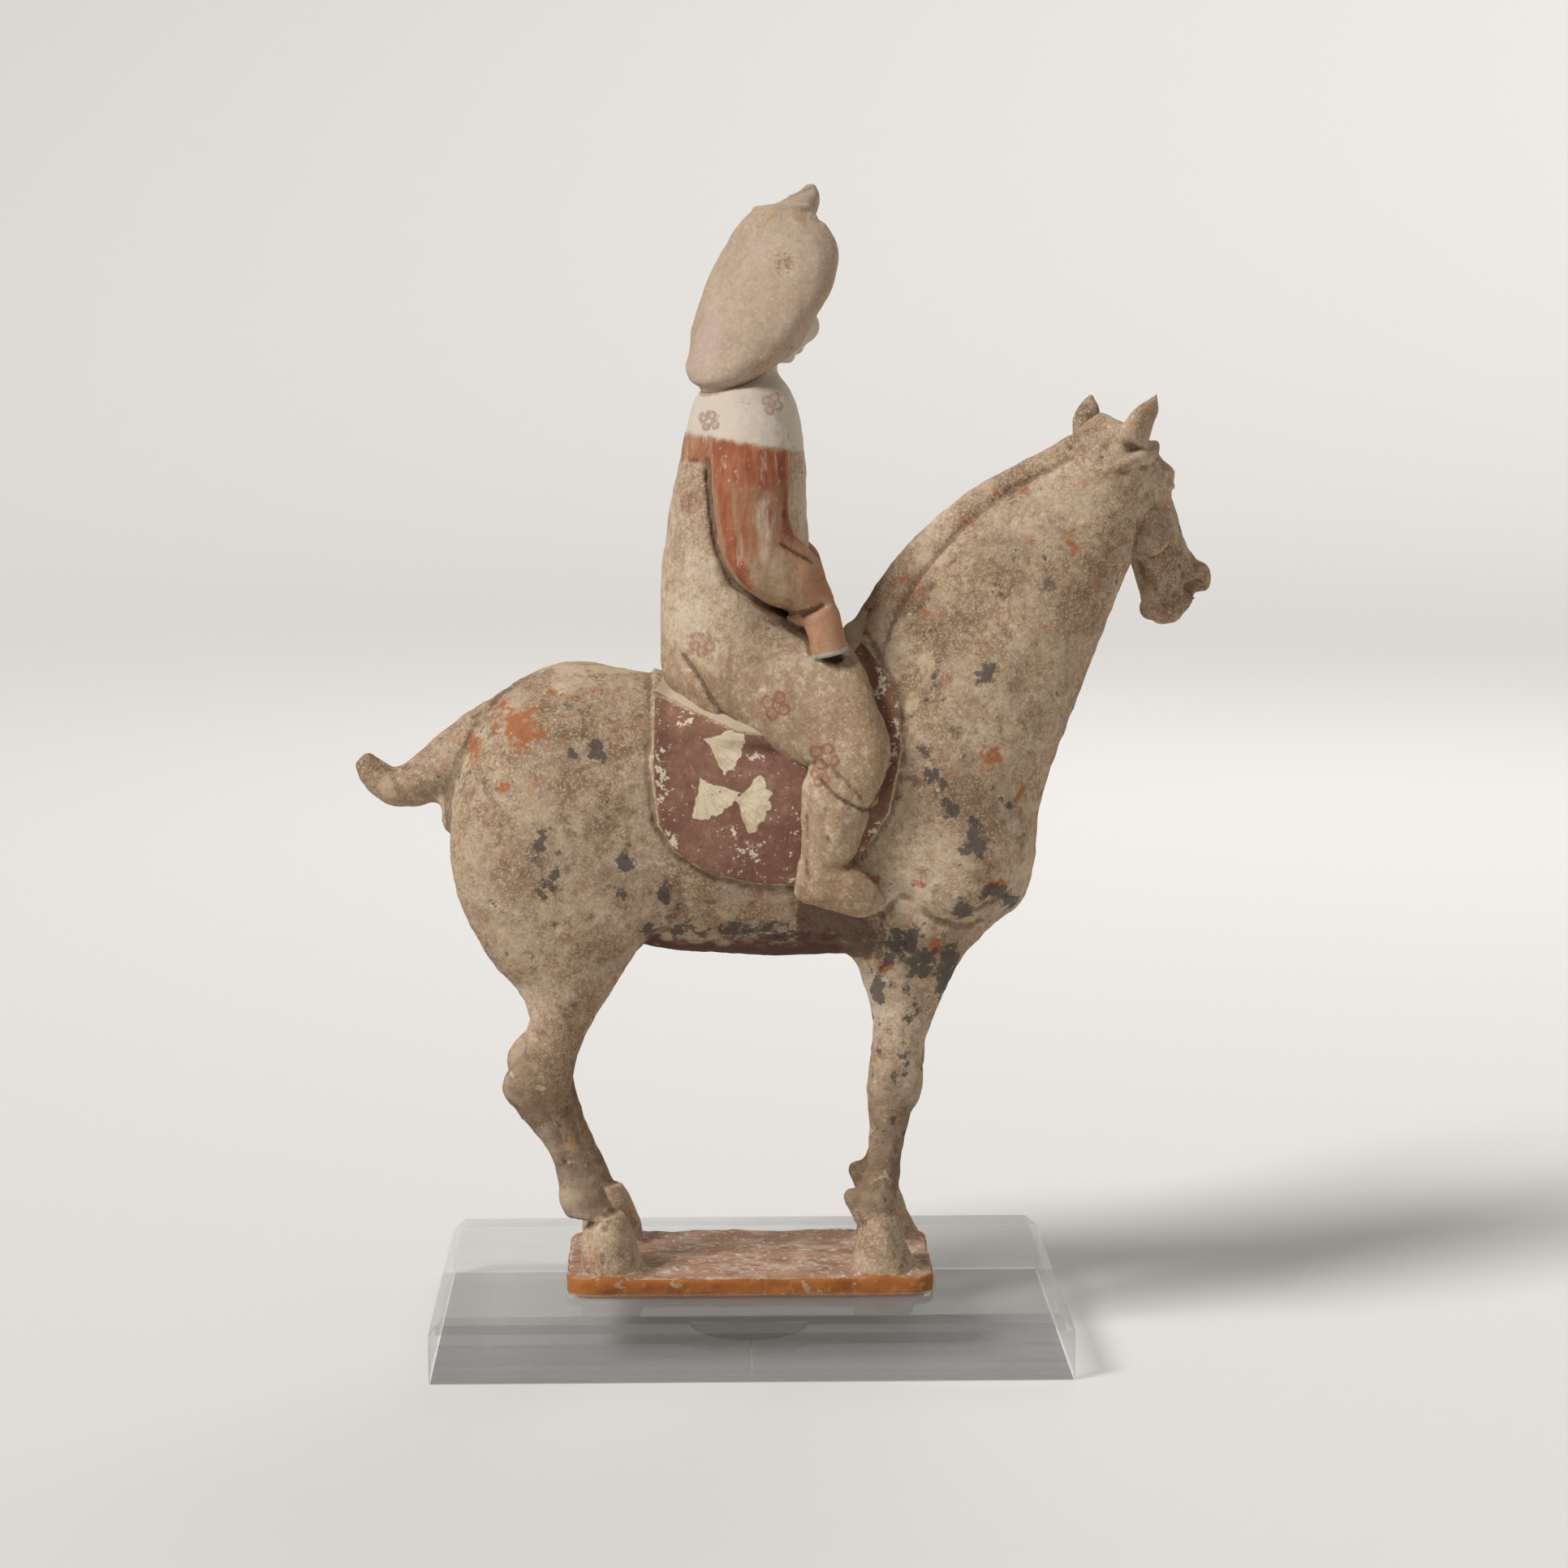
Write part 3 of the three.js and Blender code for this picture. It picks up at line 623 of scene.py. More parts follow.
rider = {
    "netStep": 0.86 * millimetre,
    "netBox": ((-110, -150, 325), (160, 150, 870)),
    "headNetStep": 0.52 * millimetre,
    "headNetBox": ((-90, -100, 800), (112, 100, 1012)),
    "headTurn": {"x": 0, "degrees": 43},
    "robe": [
        [60, 528, -70, 528, 0, 84, 0],
        [66, 560, -78, 556, 0, 86, 0],
        [66, 592, -80, 588, 0, 82, 0],
        [64, 622, -81, 618, 0, 76, 0],
        [58, 650, -79, 648, 0, 72, 0],
        [55, 680, -75, 678, 0, 70, 0],
        [53, 709, -71, 708, 0, 70, 0],
        [53, 739, -65, 737, 0, 72, 0],
        [51, 768, -59, 767, 0, 74, 0],
        [47, 790, -54, 786, 0, 70, 0],
        [39, 811, -47, 806, 0, 54, 0],
        [30, 824, -38, 815, 0, 36, 0],
        [22, 832, -30, 824, 0, 22, 0],
    ],
    "sleeve": [
        [8, 806, -24, 802, 40, 12, 0],
        [24, 792, -30, 788, 56, 24, 0],
        [36, 768, -36, 766, 69, 30, 0],
        [36, 740, -36, 738, 77, 31, 0],
        [35, 712, -33, 711, 82, 30, 0],
        [38, 690, -29, 676, 84, 29, 0],
        [50, 676, -20, 646, 84, 28, 0],
        [64, 660, 4, 622, 81, 27, 0],
        [72, 640, 30, 608, 76, 25, 0],
        [75, 630, 42, 602, 73, 23, 0],
    ],
    "cuff": [
        [70, 642, 38, 618, 80, 17, 0],
        [80, 616, 49, 600, 85, 17, 0],
        [88, 582, 57, 574, 86, 18, 0],
    ],
    "thigh": [
        [26, 640, -62, 596, 0, 34, 0],
        [56, 614, -74, 554, 26, 50, 0],
        [76, 600, -48, 528, 46, 46, 0],
        [90, 582, -8, 502, 62, 42, 0],
        [103, 562, 40, 478, 80, 37, 0],
        [115, 530, 66, 462, 93, 34, 0],
        [125, 500, 82, 446, 101, 29, 0],
        [123, 474, 98, 438, 104, 22, 0],
        [113, 452, 105, 440, 104, 12, 0],
    ],
    "shin": [
        [110, 480, 54, 484, 96, 20, 0],
        [110, 446, 45, 454, 107, 25, 0],
        [101, 412, 46, 416, 110, 23, 0],
        [89, 388, 46, 385, 111, 20, 0],
        [84, 366, 46, 358, 110, 17, 0],
    ],
    "shoe": [
        [48, 394, 44, 358, 110, 14, 0],
        [70, 398, 62, 350, 112, 18, 0],
        [94, 388, 88, 343, 113, 18, 0],
        [110, 373, 104, 342, 113, 14, 0],
        [119, 362, 115, 347, 113, 8, 0],
    ],
    "hair": [
        [-24, 814, -50, 814, 0, 20, 0],
        [-10, 822, -57, 820, 0, 32, 0],
        [12, 834, -55, 832, 0, 46, 0],
        [30, 848, -46, 846, 0, 58, 0],
        [44, 868, -37, 865, 0, 67, 0],
        [56, 888, -26, 885, 0, 71, 0],
        [68, 908, -14, 907, 0, 72, 0],
        [78, 930, -3, 929, 0, 68, 0],
        [80, 947, 5, 945, 0, 59, 0],
        [77, 962, 11, 960, 0, 46, 0],
        [68, 974, 19, 973, 0, 31, 0],
    ],
    "topknot": [
        [78, 966, 44, 970, 0, 18, 0],
        [84, 974, 34, 977, 0, 17, 0],
        [88, 982, 46, 983, 0, 14, 0],
        [88, 990, 62, 988, 0, 10, 0],
        [84, 996, 76, 993, 0, 6, 0],
    ],
    "faceOpening": ((88, 0, 893), (38, 38, 38)),
    "face": [
        [54, 842, 0, 842, 0, 18, 0],
        [61, 850, 0, 850, 0, 28, 0],
        [64, 862, 0, 862, 0, 35, 0],
        [65, 876, 0, 876, 0, 39, 0],
        [65, 892, 0, 892, 0, 39, 0],
        [64, 908, 0, 908, 0, 37, 0],
        [60, 924, 2, 924, 0, 31, 0],
        [50, 936, 6, 936, 0, 20, 0],
    ],
    "features": [                 # place, radii and tilt of the nose's four lumps, the lips and the chin
        ((65, 0, 886), (6, 3.8, 13), -12),
        ((69, 0, 876), (5, 4.6, 4.4), 0),
        ((65, 5, 874.5), (4, 3.2, 3.2), 0),
        ((65, -5, 874.5), (4, 3.2, 3.2), 0),
        ((63.5, 0, 865.3), (4.4, 9.5, 2.2), 0),
        ((63, 0, 860.6), (4.4, 7.5, 2.6), 0),
        ((59, 0, 850), (7, 10, 7), 0),
    ],
    "throat": [
        [26, 790, -30, 790, 0, 34, 0],
        [24, 822, -26, 822, 0, 28, 0],
        [34, 850, -20, 850, 0, 28, 0],
    ],
    "grooves": [                  # line, width, depth and how far out from the middle it begins
        ([[-38, 752], [-37, 727], [-34, 698], [-29, 669], [-15, 641]], 2.4, 5.5, 40),
        ([[-29, 745], [-28, 720], [-24, 690], [-17, 664]], 2.6, -1.3, 60),
        ([[-24, 650], [-12, 637], [5, 626], [16, 620], [30, 616], [46, 612]], 4.5, 9, 52),
        ([[24, 679], [41, 669], [61, 657]], 1.7, 3.4, 92),
        ([[34, 692], [42, 682], [51, 671]], 1.6, 3, 92),
        ([[57, 644], [67, 646]], 1.5, 2, 80),
        ([[30, 700], [31, 708]], 2, 2.5, 92),
        ([[42, 616], [54, 617], [66, 622]], 3.4, 6, 70),
        ([[49, 604], [58, 592], [60, 580]], 2.4, -1, 80),
        ([[-58, 749], [-45, 749]], 1.6, 2.2, 16),
        ([[43, 746], [52, 746]], 1.4, 1.6, 10),
        ([[45, 738], [51, 737]], 1.4, 1.4, 10),
        ([[-60, 574], [-47, 557], [-38, 542], [-32, 532], [-23, 521], [-12, 509]], 2.6, 4, 30),
        ([[-57, 580], [-42, 562], [-33, 547], [-26, 536], [-16, 524]], 3, -1.4, 30),
        ([[60, 472], [71, 459], [84, 449], [95, 443], [108, 438]], 1.9, 4.5, 90),
        ([[113, 530], [122, 512], [126, 492], [123, 470]], 2.6, -1.3, 70),
        ([[52, 470], [51, 437], [51, 400], [53, 372]], 2.6, 2.6, 90),
        ([[70, 450], [66, 430], [72, 408]], 3, 1.4, 90),
        ([[88, 404], [91, 403]], 3.6, -2.6, 90),
        ([[50, 388], [66, 378], [84, 382], [98, 374]], 4, -1.2, 90),
    ],
    "headGrooves": [
        ([[-46, 826], [-44, 842], [-34, 870], [-22, 902]], 6, -1.6),
        ([[-30, 832], [-24, 860], [-10, 896]], 3.5, 1.2),
        ([[48, 962], [62, 966], [76, 964]], 2.4, 2.6),
        ([[56, 836], [60, 838]], 2.5, 1),
    ],
}


def modelRider():
    clay = emptyClay(*rider["netBox"], rider["netStep"])
    press(clay, limb(rider["robe"]), 4)
    for side in (-1, 1):
        press(clay, limb(rider["thigh"], dome=5, side=side), 16)
        press(clay, limb(rider["shin"], dome=4, side=side), 2)
        press(clay, limb(rider["shoe"], dome=5, side=side), 5)
        press(clay, limb(rider["sleeve"], side=side), 7)
        press(clay, limb(rider["cuff"], dome=1, side=side), 1.5)
        press(clay, lump((73, 87, 576), (12, 13, 8), tilt=15, side=side), 1.5, cut=True)
    for line, width, depth, near in rider["grooves"]:
        for side in (-1, 1):
            carve(clay, line, width, depth, side, near=near)
    press(clay, limb(rider["throat"], dome=4), 6)
    handWork(clay, 60, 0.8, seed=13)
    handWork(clay, 18, 0.35, seed=14)
    handWork(clay, 8, 0.18, seed=15)
    print("rider's body modelled")
    return clay


# The head has a finer net of its own, for the small features of the face.
def modelRiderHead():
    clay = emptyClay(*rider["headNetBox"], rider["headNetStep"])
    turn = rider["headTurn"]
    press(clay, limb(rider["hair"], turn=turn), 2)
    press(clay, limb(rider["topknot"], dome=3, turn=turn), 3)
    press(clay, lump(*rider["faceOpening"], turn=turn), 4, cut=True)
    press(clay, limb(rider["face"], turn=turn), 2)
    for side in (-1, 1):
        press(clay, lump((54, 21, 868), (11, 12, 13), side=side, turn=turn), 8)
        press(clay, lump((69, 15, 889), (7, 9, 5.5), side=side, turn=turn), 4, cut=True)
        press(clay, lump((57, 15, 888.5), (6.2, 8.2, 4.4), side=side, turn=turn), 1)
        press(clay, lump((58.5, 15, 897.5), (5, 11, 2.6), tilt=-10, side=side, turn=turn), 3)
    for at, radii, tilt in rider["features"]:
        press(clay, lump(at, radii, tilt, turn=turn), 2.5)
    for line, width, depth in rider["headGrooves"]:
        for side in (-1, 1):
            carve(clay, line, width, depth, side, turn)
    handWork(clay, 60, 0.8, seed=13)
    handWork(clay, 18, 0.3, seed=14)
    print("rider's head modelled")
    return clay


# The slab, with the clay that was smeared up round the four hooves.

def modelSlab():
    step = slab["netStep"] / share
    halfLength, halfDepth = slab["length"] / 2 / share, slab["depth"] / 2 / share
    thick = slab["thickness"] / share
    clay = emptyClay((-halfLength - 6, -halfDepth - 6, -thick - 6), (halfLength + 6, halfDepth + 6, 60), step)
    corner, rounding = slab["corner"] / share, slab["rounding"] / share

    def distance(x, y, z):
        away = [np.abs(x) - halfLength + corner, np.abs(y) - halfDepth + corner]
        outside = np.hypot(np.maximum(away[0], 0), np.maximum(away[1], 0))
        flat = outside + np.minimum(np.maximum(*away), 0) - corner
        up = np.abs(z + thick / 2) - thick / 2
        over = np.hypot(np.maximum(flat + rounding, 0), np.maximum(up + rounding, 0))
        return over + np.minimum(np.maximum(flat, up) + rounding, 0) - rounding
    box = np.array([halfLength, halfDepth, thick])
    press(clay, (distance, (-box, box * [1, 1, 0])), 1)
    for side in (-1, 1):
        for name, farShift in (("hindHoof", -horse["farHindBack"]), ("foreHoof", horse["farForeForward"])):
            shift = farShift * (side > 0)
            inner = limb(horse[name], dome=1, side=side, forward=shift, grow=-2)
            press(clay, inner, slab["filletShare"])
    x, y, z = np.meshgrid(*clay["axes"], indexing="ij", sparse=True)
    edgeWear = waves(x, y, z, 30, 21) + 0.6 * waves(x, y, z, 12, 22)
    buried = z < -thick + 3
    clay["field"] += (0.55 * edgeWear * ~buried * (z < 8) + 0.35 * (z >= 8)).astype(np.float32)
    print("slab modelled")
    return clay


# Materials. A coat is a colour and the share of the surface that it covers, and each lies over the last.

def hexColour(text, alpha=1):
    parts = [int(text[i:i + 2], 16) / 255 for i in (1, 3, 5)]
    linear = [p / 12.92 if p <= 0.04045 else ((p + 0.055) / 1.055) ** 2.4 for p in parts]
    return (*linear, alpha)


def addNode(tree, kind, inputs=None, out=0, stops=None, **settings):
    node = tree.nodes.new("ShaderNode" + kind)
    for name, value in settings.items():
        setattr(node, name, value)
    for key, value in (inputs or {}).items():
        if isinstance(value, bpy.types.NodeSocket):
            tree.links.new(value, node.inputs[key])
        else:
            node.inputs[key].default_value = value
    if stops:
        ramp = node.color_ramp
        while len(ramp.elements) < len(stops):
            ramp.elements.new(0.5)
        for element, (place, colour) in zip(ramp.elements, stops):
            element.position = place
            element.color = hexColour(colour)
    return node.outputs[out]


def perMetre(size):               # a pattern's scale from its size in millimetres
    return 1000 / size


grain = {                         # sizes in millimetres
    "sand": 0.55,                 # real temper is finer, drawn this coarse so that it shows
    "speck": 0.8,
    "crust": 2.0,
    "mottle": 2.2,
    "cloud": 26,
    "patch": 7,
    "pit": 5,
}


def newMaterial(name, roughness, specular):
    material = bpy.data.materials.new(name)
    material.use_nodes = True
    shader = material.node_tree.nodes["Principled BSDF"]
    shader.inputs["Roughness"].default_value = roughness
    shader.inputs["Specular IOR Level"].default_value = specular
    return material, material.node_tree, shader


# A mask from the piece's own attribute, frayed by noise of one size.
def frayed(tree, place, attribute, size, seed, low=0.45, high=0.6, fray=0.9, strength=1):
    mask = addNode(tree, "Attribute", out="Fac", attribute_name=attribute)
    noise = addNode(tree, "TexNoise", {"Vector": place, "W": seed, "Scale": perMetre(size), "Detail": 6,
                                       "Roughness": 0.68}, noise_dimensions="4D")
    shifted = addNode(tree, "Math", {0: noise, 1: 0.5}, operation="SUBTRACT")
    summed = addNode(tree, "Math", {0: shifted, 1: fray * 2, 2: mask}, operation="MULTIPLY_ADD")
    return addNode(tree, "MapRange", {"Value": summed, "From Min": low, "From Max": high, "To Max": strength},
                   interpolation_type="SMOOTHSTEP")


# A mask of scattered patches of one size, all over.
def scattered(tree, place, size, seed, low, high, strength=1):
    noise = addNode(tree, "TexNoise", {"Vector": place, "W": seed, "Scale": perMetre(size), "Detail": 7,
                                       "Roughness": 0.62}, noise_dimensions="4D")
    return addNode(tree, "MapRange", {"Value": noise, "From Min": low, "From Max": high, "To Max": strength},
                   interpolation_type="SMOOTHSTEP")


def layCoats(tree, colour, coats):
    for paint, cover in coats:
        paint = hexColour(paint) if isinstance(paint, str) else paint
        colour = addNode(tree, "Mix", {0: cover, 6: colour, 7: paint}, out=2, data_type="RGBA")
    return colour


# Fired buff clay under a thin pale slip that has mostly worn off: cloudy, powdery and quite matt.
def firedClay(tree, place, seed, pale=0.0):
    mottle = addNode(tree, "TexNoise", {"Vector": place, "W": seed, "Scale": perMetre(grain["mottle"]),
                                        "Detail": 9, "Roughness": 0.7}, noise_dimensions="4D")
    cloud = addNode(tree, "TexNoise", {"Vector": place, "W": seed, "Scale": perMetre(grain["cloud"]),
                                       "Detail": 5, "Roughness": 0.55}, noise_dimensions="4D")
    tone = addNode(tree, "Math", {0: mottle, 1: cloud}, operation="ADD")
    tone = addNode(tree, "Math", {0: tone, 1: 0.5, 2: pale}, operation="MULTIPLY_ADD")
    colour = addNode(tree, "ValToRGB", {"Fac": tone}, stops=[
        (0.38, "#735b45"), (0.45, "#8a7057"), (0.50, "#9f866b"), (0.55, "#b09980"), (0.62, "#c6b49c")])
    return layCoats(tree, colour, [
        ("#8d6f5a", scattered(tree, place, grain["cloud"] * 0.8, seed + 1, 0.5, 0.68, 0.45)),
        ("#b49f8d", scattered(tree, place, grain["cloud"] * 0.5, seed + 2, 0.52, 0.66, 0.5)),
        ("#cbbaa3", scattered(tree, place, grain["speck"], seed + 3, 0.5, 0.62, 0.55)),
        ("#66503b", scattered(tree, place, grain["crust"], seed + 4, 0.56, 0.66, 0.45)),
        ("#5a4532", scattered(tree, place, grain["speck"], seed + 5, 0.6, 0.68, 0.5)),
    ])


def clayBump(tree, place, seed, sand=1.0):
    sandNoise = addNode(tree, "TexNoise", {"Vector": place, "W": seed, "Scale": perMetre(grain["sand"]),
                                           "Detail": 4, "Roughness": 0.6}, noise_dimensions="4D")
    crust = addNode(tree, "TexNoise", {"Vector": place, "W": seed, "Scale": perMetre(grain["crust"]),
                                       "Detail": 6, "Roughness": 0.7}, noise_dimensions="4D")
    pits = scattered(tree, place, grain["pit"], seed + 6, 0.33, 0.27, 1)
    height = addNode(tree, "Math", {0: sandNoise, 1: 0.22 * sand, 2: crust}, operation="MULTIPLY_ADD")
    height = addNode(tree, "Math", {0: pits, 1: -0.5, 2: height}, operation="MULTIPLY_ADD")
    return addNode(tree, "Bump", {"Strength": 0.55, "Distance": 0.0007, "Height": height})


# Where a point lies about a mark, seen from the side: its angle and its distance in metres.
# The angle is counted from the way that the mark points, which is in degrees.
def aboutMark(tree, place, atX, atZ, way=0):
    centre = (atX * share, 0, slabTop + atZ * share)
    metres = addNode(tree, "VectorMath", {0: place, 1: centre}, operation="SUBTRACT")
    turned = addNode(tree, "VectorRotate", {"Vector": metres, "Angle": np.radians(way)},
                     rotation_type="Y_AXIS")
    x = addNode(tree, "SeparateXYZ", {0: turned}, out=0)
    z = addNode(tree, "SeparateXYZ", {0: turned}, out=2)
    angle = addNode(tree, "Math", {0: z, 1: x}, operation="ARCTAN2")
    flat = addNode(tree, "CombineXYZ", {0: x, 1: z})
    return angle, addNode(tree, "VectorMath", {0: flat}, out=1, operation="LENGTH")


# A painted fan with hollow sides and a scalloped rim: a mask that is 1 inside it, and one of its ribs.
def fanMasks(tree, place, fan):
    atX, atZ, way, spread, radius = fan
    halfSpread = np.radians(spread)
    angle, away = aboutMark(tree, place, atX, atZ, way)
    wobble = addNode(tree, "TexNoise", {"Vector": place, "Scale": perMetre(3), "Detail": 5})
    wobble = addNode(tree, "Math", {0: wobble, 1: 0.5}, operation="SUBTRACT")
    scallop = addNode(tree, "Math", {0: angle, 1: 16.0}, operation="MULTIPLY")
    scallop = addNode(tree, "Math", {0: scallop}, operation="COSINE")
    rim = addNode(tree, "Math", {0: scallop, 1: 0.0003, 2: radius * share}, operation="MULTIPLY_ADD")
    rim = addNode(tree, "Math", {0: wobble, 1: 0.004, 2: rim}, operation="MULTIPLY_ADD")
    within = addNode(tree, "Math", {0: rim, 1: away}, operation="SUBTRACT")
    opening = addNode(tree, "MapRange", {"Value": away, "From Max": radius * share * 0.55,
                                         "To Min": 0.7 * halfSpread, "To Max": 1.08 * halfSpread})
    side = addNode(tree, "Math", {0: angle}, operation="ABSOLUTE")
    side = addNode(tree, "Math", {0: opening, 1: side}, operation="SUBTRACT")
    side = addNode(tree, "Math", {0: side, 1: away}, operation="MULTIPLY")
    side = addNode(tree, "Math", {0: wobble, 1: 0.0022, 2: side}, operation="MULTIPLY_ADD")
    both = addNode(tree, "Math", {0: within, 1: side}, operation="MINIMUM")
    cover = addNode(tree, "MapRange", {"Value": both, "From Min": 0, "From Max": 0.0004})
    ribs = addNode(tree, "Math", {0: angle, 1: 22.0}, operation="MULTIPLY")
    ribs = addNode(tree, "Math", {0: ribs}, operation="COSINE")
    ribs = addNode(tree, "MapRange", {"Value": ribs, "From Min": 0.55, "From Max": 0.95, "To Max": 0.35})
    return cover, addNode(tree, "Math", {0: cover, 1: ribs}, operation="MULTIPLY")


# A faded rosette of round petals: a mask of the petals' outlines, fainter inside them.
def rosetteMask(tree, place, rosette):
    atX, atZ, size, petals = rosette[:4]
    tilt = 20
    angle, away = aboutMark(tree, place, atX, atZ, tilt)
    wobble = addNode(tree, "TexNoise", {"Vector": place, "Scale": perMetre(4), "Detail": 4})
    wobble = addNode(tree, "Math", {0: wobble, 1: 0.5}, operation="SUBTRACT")
    sector = 2 * np.pi / petals
    angle = addNode(tree, "Math", {0: angle, 1: sector}, operation="FLOORED_MODULO")
    angle = addNode(tree, "Math", {0: angle, 1: sector / 2}, operation="SUBTRACT")
    along = addNode(tree, "Math", {0: angle}, operation="COSINE")
    along = addNode(tree, "Math", {0: along, 1: away, 2: -size * share}, operation="MULTIPLY_ADD")
    across = addNode(tree, "Math", {0: angle}, operation="SINE")
    across = addNode(tree, "Math", {0: across, 1: away}, operation="MULTIPLY")
    petal = addNode(tree, "CombineXYZ", {0: along, 1: across})
    petal = addNode(tree, "VectorMath", {0: petal}, out=1, operation="LENGTH")
    petal = addNode(tree, "Math", {0: wobble, 1: 0.002, 2: petal}, operation="MULTIPLY_ADD")
    edge = 0.56 * size * share
    line = addNode(tree, "Math", {0: petal, 1: edge}, operation="SUBTRACT")
    line = addNode(tree, "Math", {0: line}, operation="ABSOLUTE")
    line = addNode(tree, "MapRange", {"Value": line, "From Min": 0.0008, "From Max": 0.0003, "To Max": 0.75})
    fill = addNode(tree, "MapRange", {"Value": petal, "From Min": edge, "From Max": edge * 0.8,
                                      "To Max": 0.35})
    return addNode(tree, "Math", {0: line, 1: fill}, operation="MAXIMUM")


# Slip-painted earthenware of the horse: buff and cloudy, with soot, rust and a mauve saddle cloth.
def horseMaterial():
    material, tree, shader = newMaterial("wornSlipOnEarthenware", 0.93, 0.2)
    place = addNode(tree, "TexCoord", out="Object")
    colour = firedClay(tree, place, 1.0)
    colour = layCoats(tree, colour, [
        # grey smudges; on the neck and head partly painted shade
        ("#786451", frayed(tree, place, "greySmudgesAndShade", 12, 1.5, 0.35, 1.1, 0.8, 0.75)),
        ("#705a46", frayed(tree, place, "legs", 12, 2.5, 0.4, 1.3, 0.7, 0.85)),
        ("#c0ad92", scattered(tree, place, 13, 2.7, 0.5, 0.64, 0.4)),
        ("#705944", scattered(tree, place, 16, 2.9, 0.54, 0.7, 0.4)),
        # pale slip patches; the long thin one along the back line is a painted highlight
        ("#bba688", frayed(tree, place, "slip", grain["patch"], 3.0, 0.4, 0.7, 1.3, 0.85)),
        ("#9d5c36", frayed(tree, place, "rust", 4.5, 4.0, 0.34, 0.62, 1.3, 0.85)),
        ("#a97a57", scattered(tree, place, 7, 5.0, 0.6, 0.66, 0.6)),
        ("#5d554f", scattered(tree, place, 9, 6.0, 0.61, 0.67, 0.6)),
        ("#454140", frayed(tree, place, "soot", grain["patch"], 7.0, 0.34, 0.5, 1.5, 0.8)),
        ("#cbbaa3", scattered(tree, place, 3.5, 7.5, 0.62, 0.66, 0.55)),
        # darker in the creases: painted shade, with dirt
        ("#5c4634", frayed(tree, place, "creaseDirtAndShade", 3, 8.0, 0.3, 1.2, 0.6, 0.65)),
        # dark mauve on the downward-facing belly: its mauve paint, and painted shade where it faces down
        ("#5a3f38", frayed(tree, place, "bellyMauveAndShade", 7, 2.0, 0.45, 0.9, 0.5)),
    ])
    cloth = layCoats(tree, hexColour("#84614f"), [
        ("#704c42", scattered(tree, place, 16, 10.0, 0.42, 0.62, 0.8)),
        ("#9a7464", scattered(tree, place, 4, 11.0, 0.5, 0.66, 0.6)),
        ("#5f4238", scattered(tree, place, 2, 11.5, 0.56, 0.66, 0.5)),
        ("#9b724c", scattered(tree, place, 4, 12.0, 0.6, 0.66, 0.6)),
        ("#c9baa0", scattered(tree, place, 1.8, 13.0, 0.63, 0.655, 0.9)),
        # pale flakes, and a faint pale band along the cloth's raised rim that is a painted highlight
        ("#cfc1a8", frayed(tree, place, "flakesAndRimHighlight", 2.2, 14.0, 0.5, 0.56, 1.4)),
    ])
    for fan in horse["fans"]:
        cover, ribs = fanMasks(tree, place, fan)
        worn = scattered(tree, place, 2.5, fan[0], 0.3, 0.38, 0.95)
        cover = addNode(tree, "Math", {0: cover, 1: worn}, operation="MULTIPLY")
        stain = scattered(tree, place, 4, fan[1], 0.5, 0.66, 0.5)
        cloth = layCoats(tree, cloth, [
            ("#d3c5aa", cover),
            ("#b39a72", addNode(tree, "Math", {0: ribs, 1: worn}, operation="MULTIPLY")),
            ("#a98552", addNode(tree, "Math", {0: cover, 1: stain}, operation="MULTIPLY")),
        ])
    colour = layCoats(tree, colour, [
        ("#b8a78d", frayed(tree, place, "saddleSkirt", 5, 9.0, 0.4, 0.6, 0.5)),
        (cloth, frayed(tree, place, "cloth", 2.4, 15.0, 0.48, 0.52, 0.35)),
        # dark mauve girth under the rider's shoe: girth paint, with the shoe's painted shadow
        ("#553d35", frayed(tree, place, "girthAndBootShadow", 5, 16.0, 0.35, 0.8, 0.9, 0.8)),
    ])
    tree.links.new(colour, shader.inputs["Base Color"])
    tree.links.new(clayBump(tree, place, 1.0), shader.inputs["Normal"])
    return material


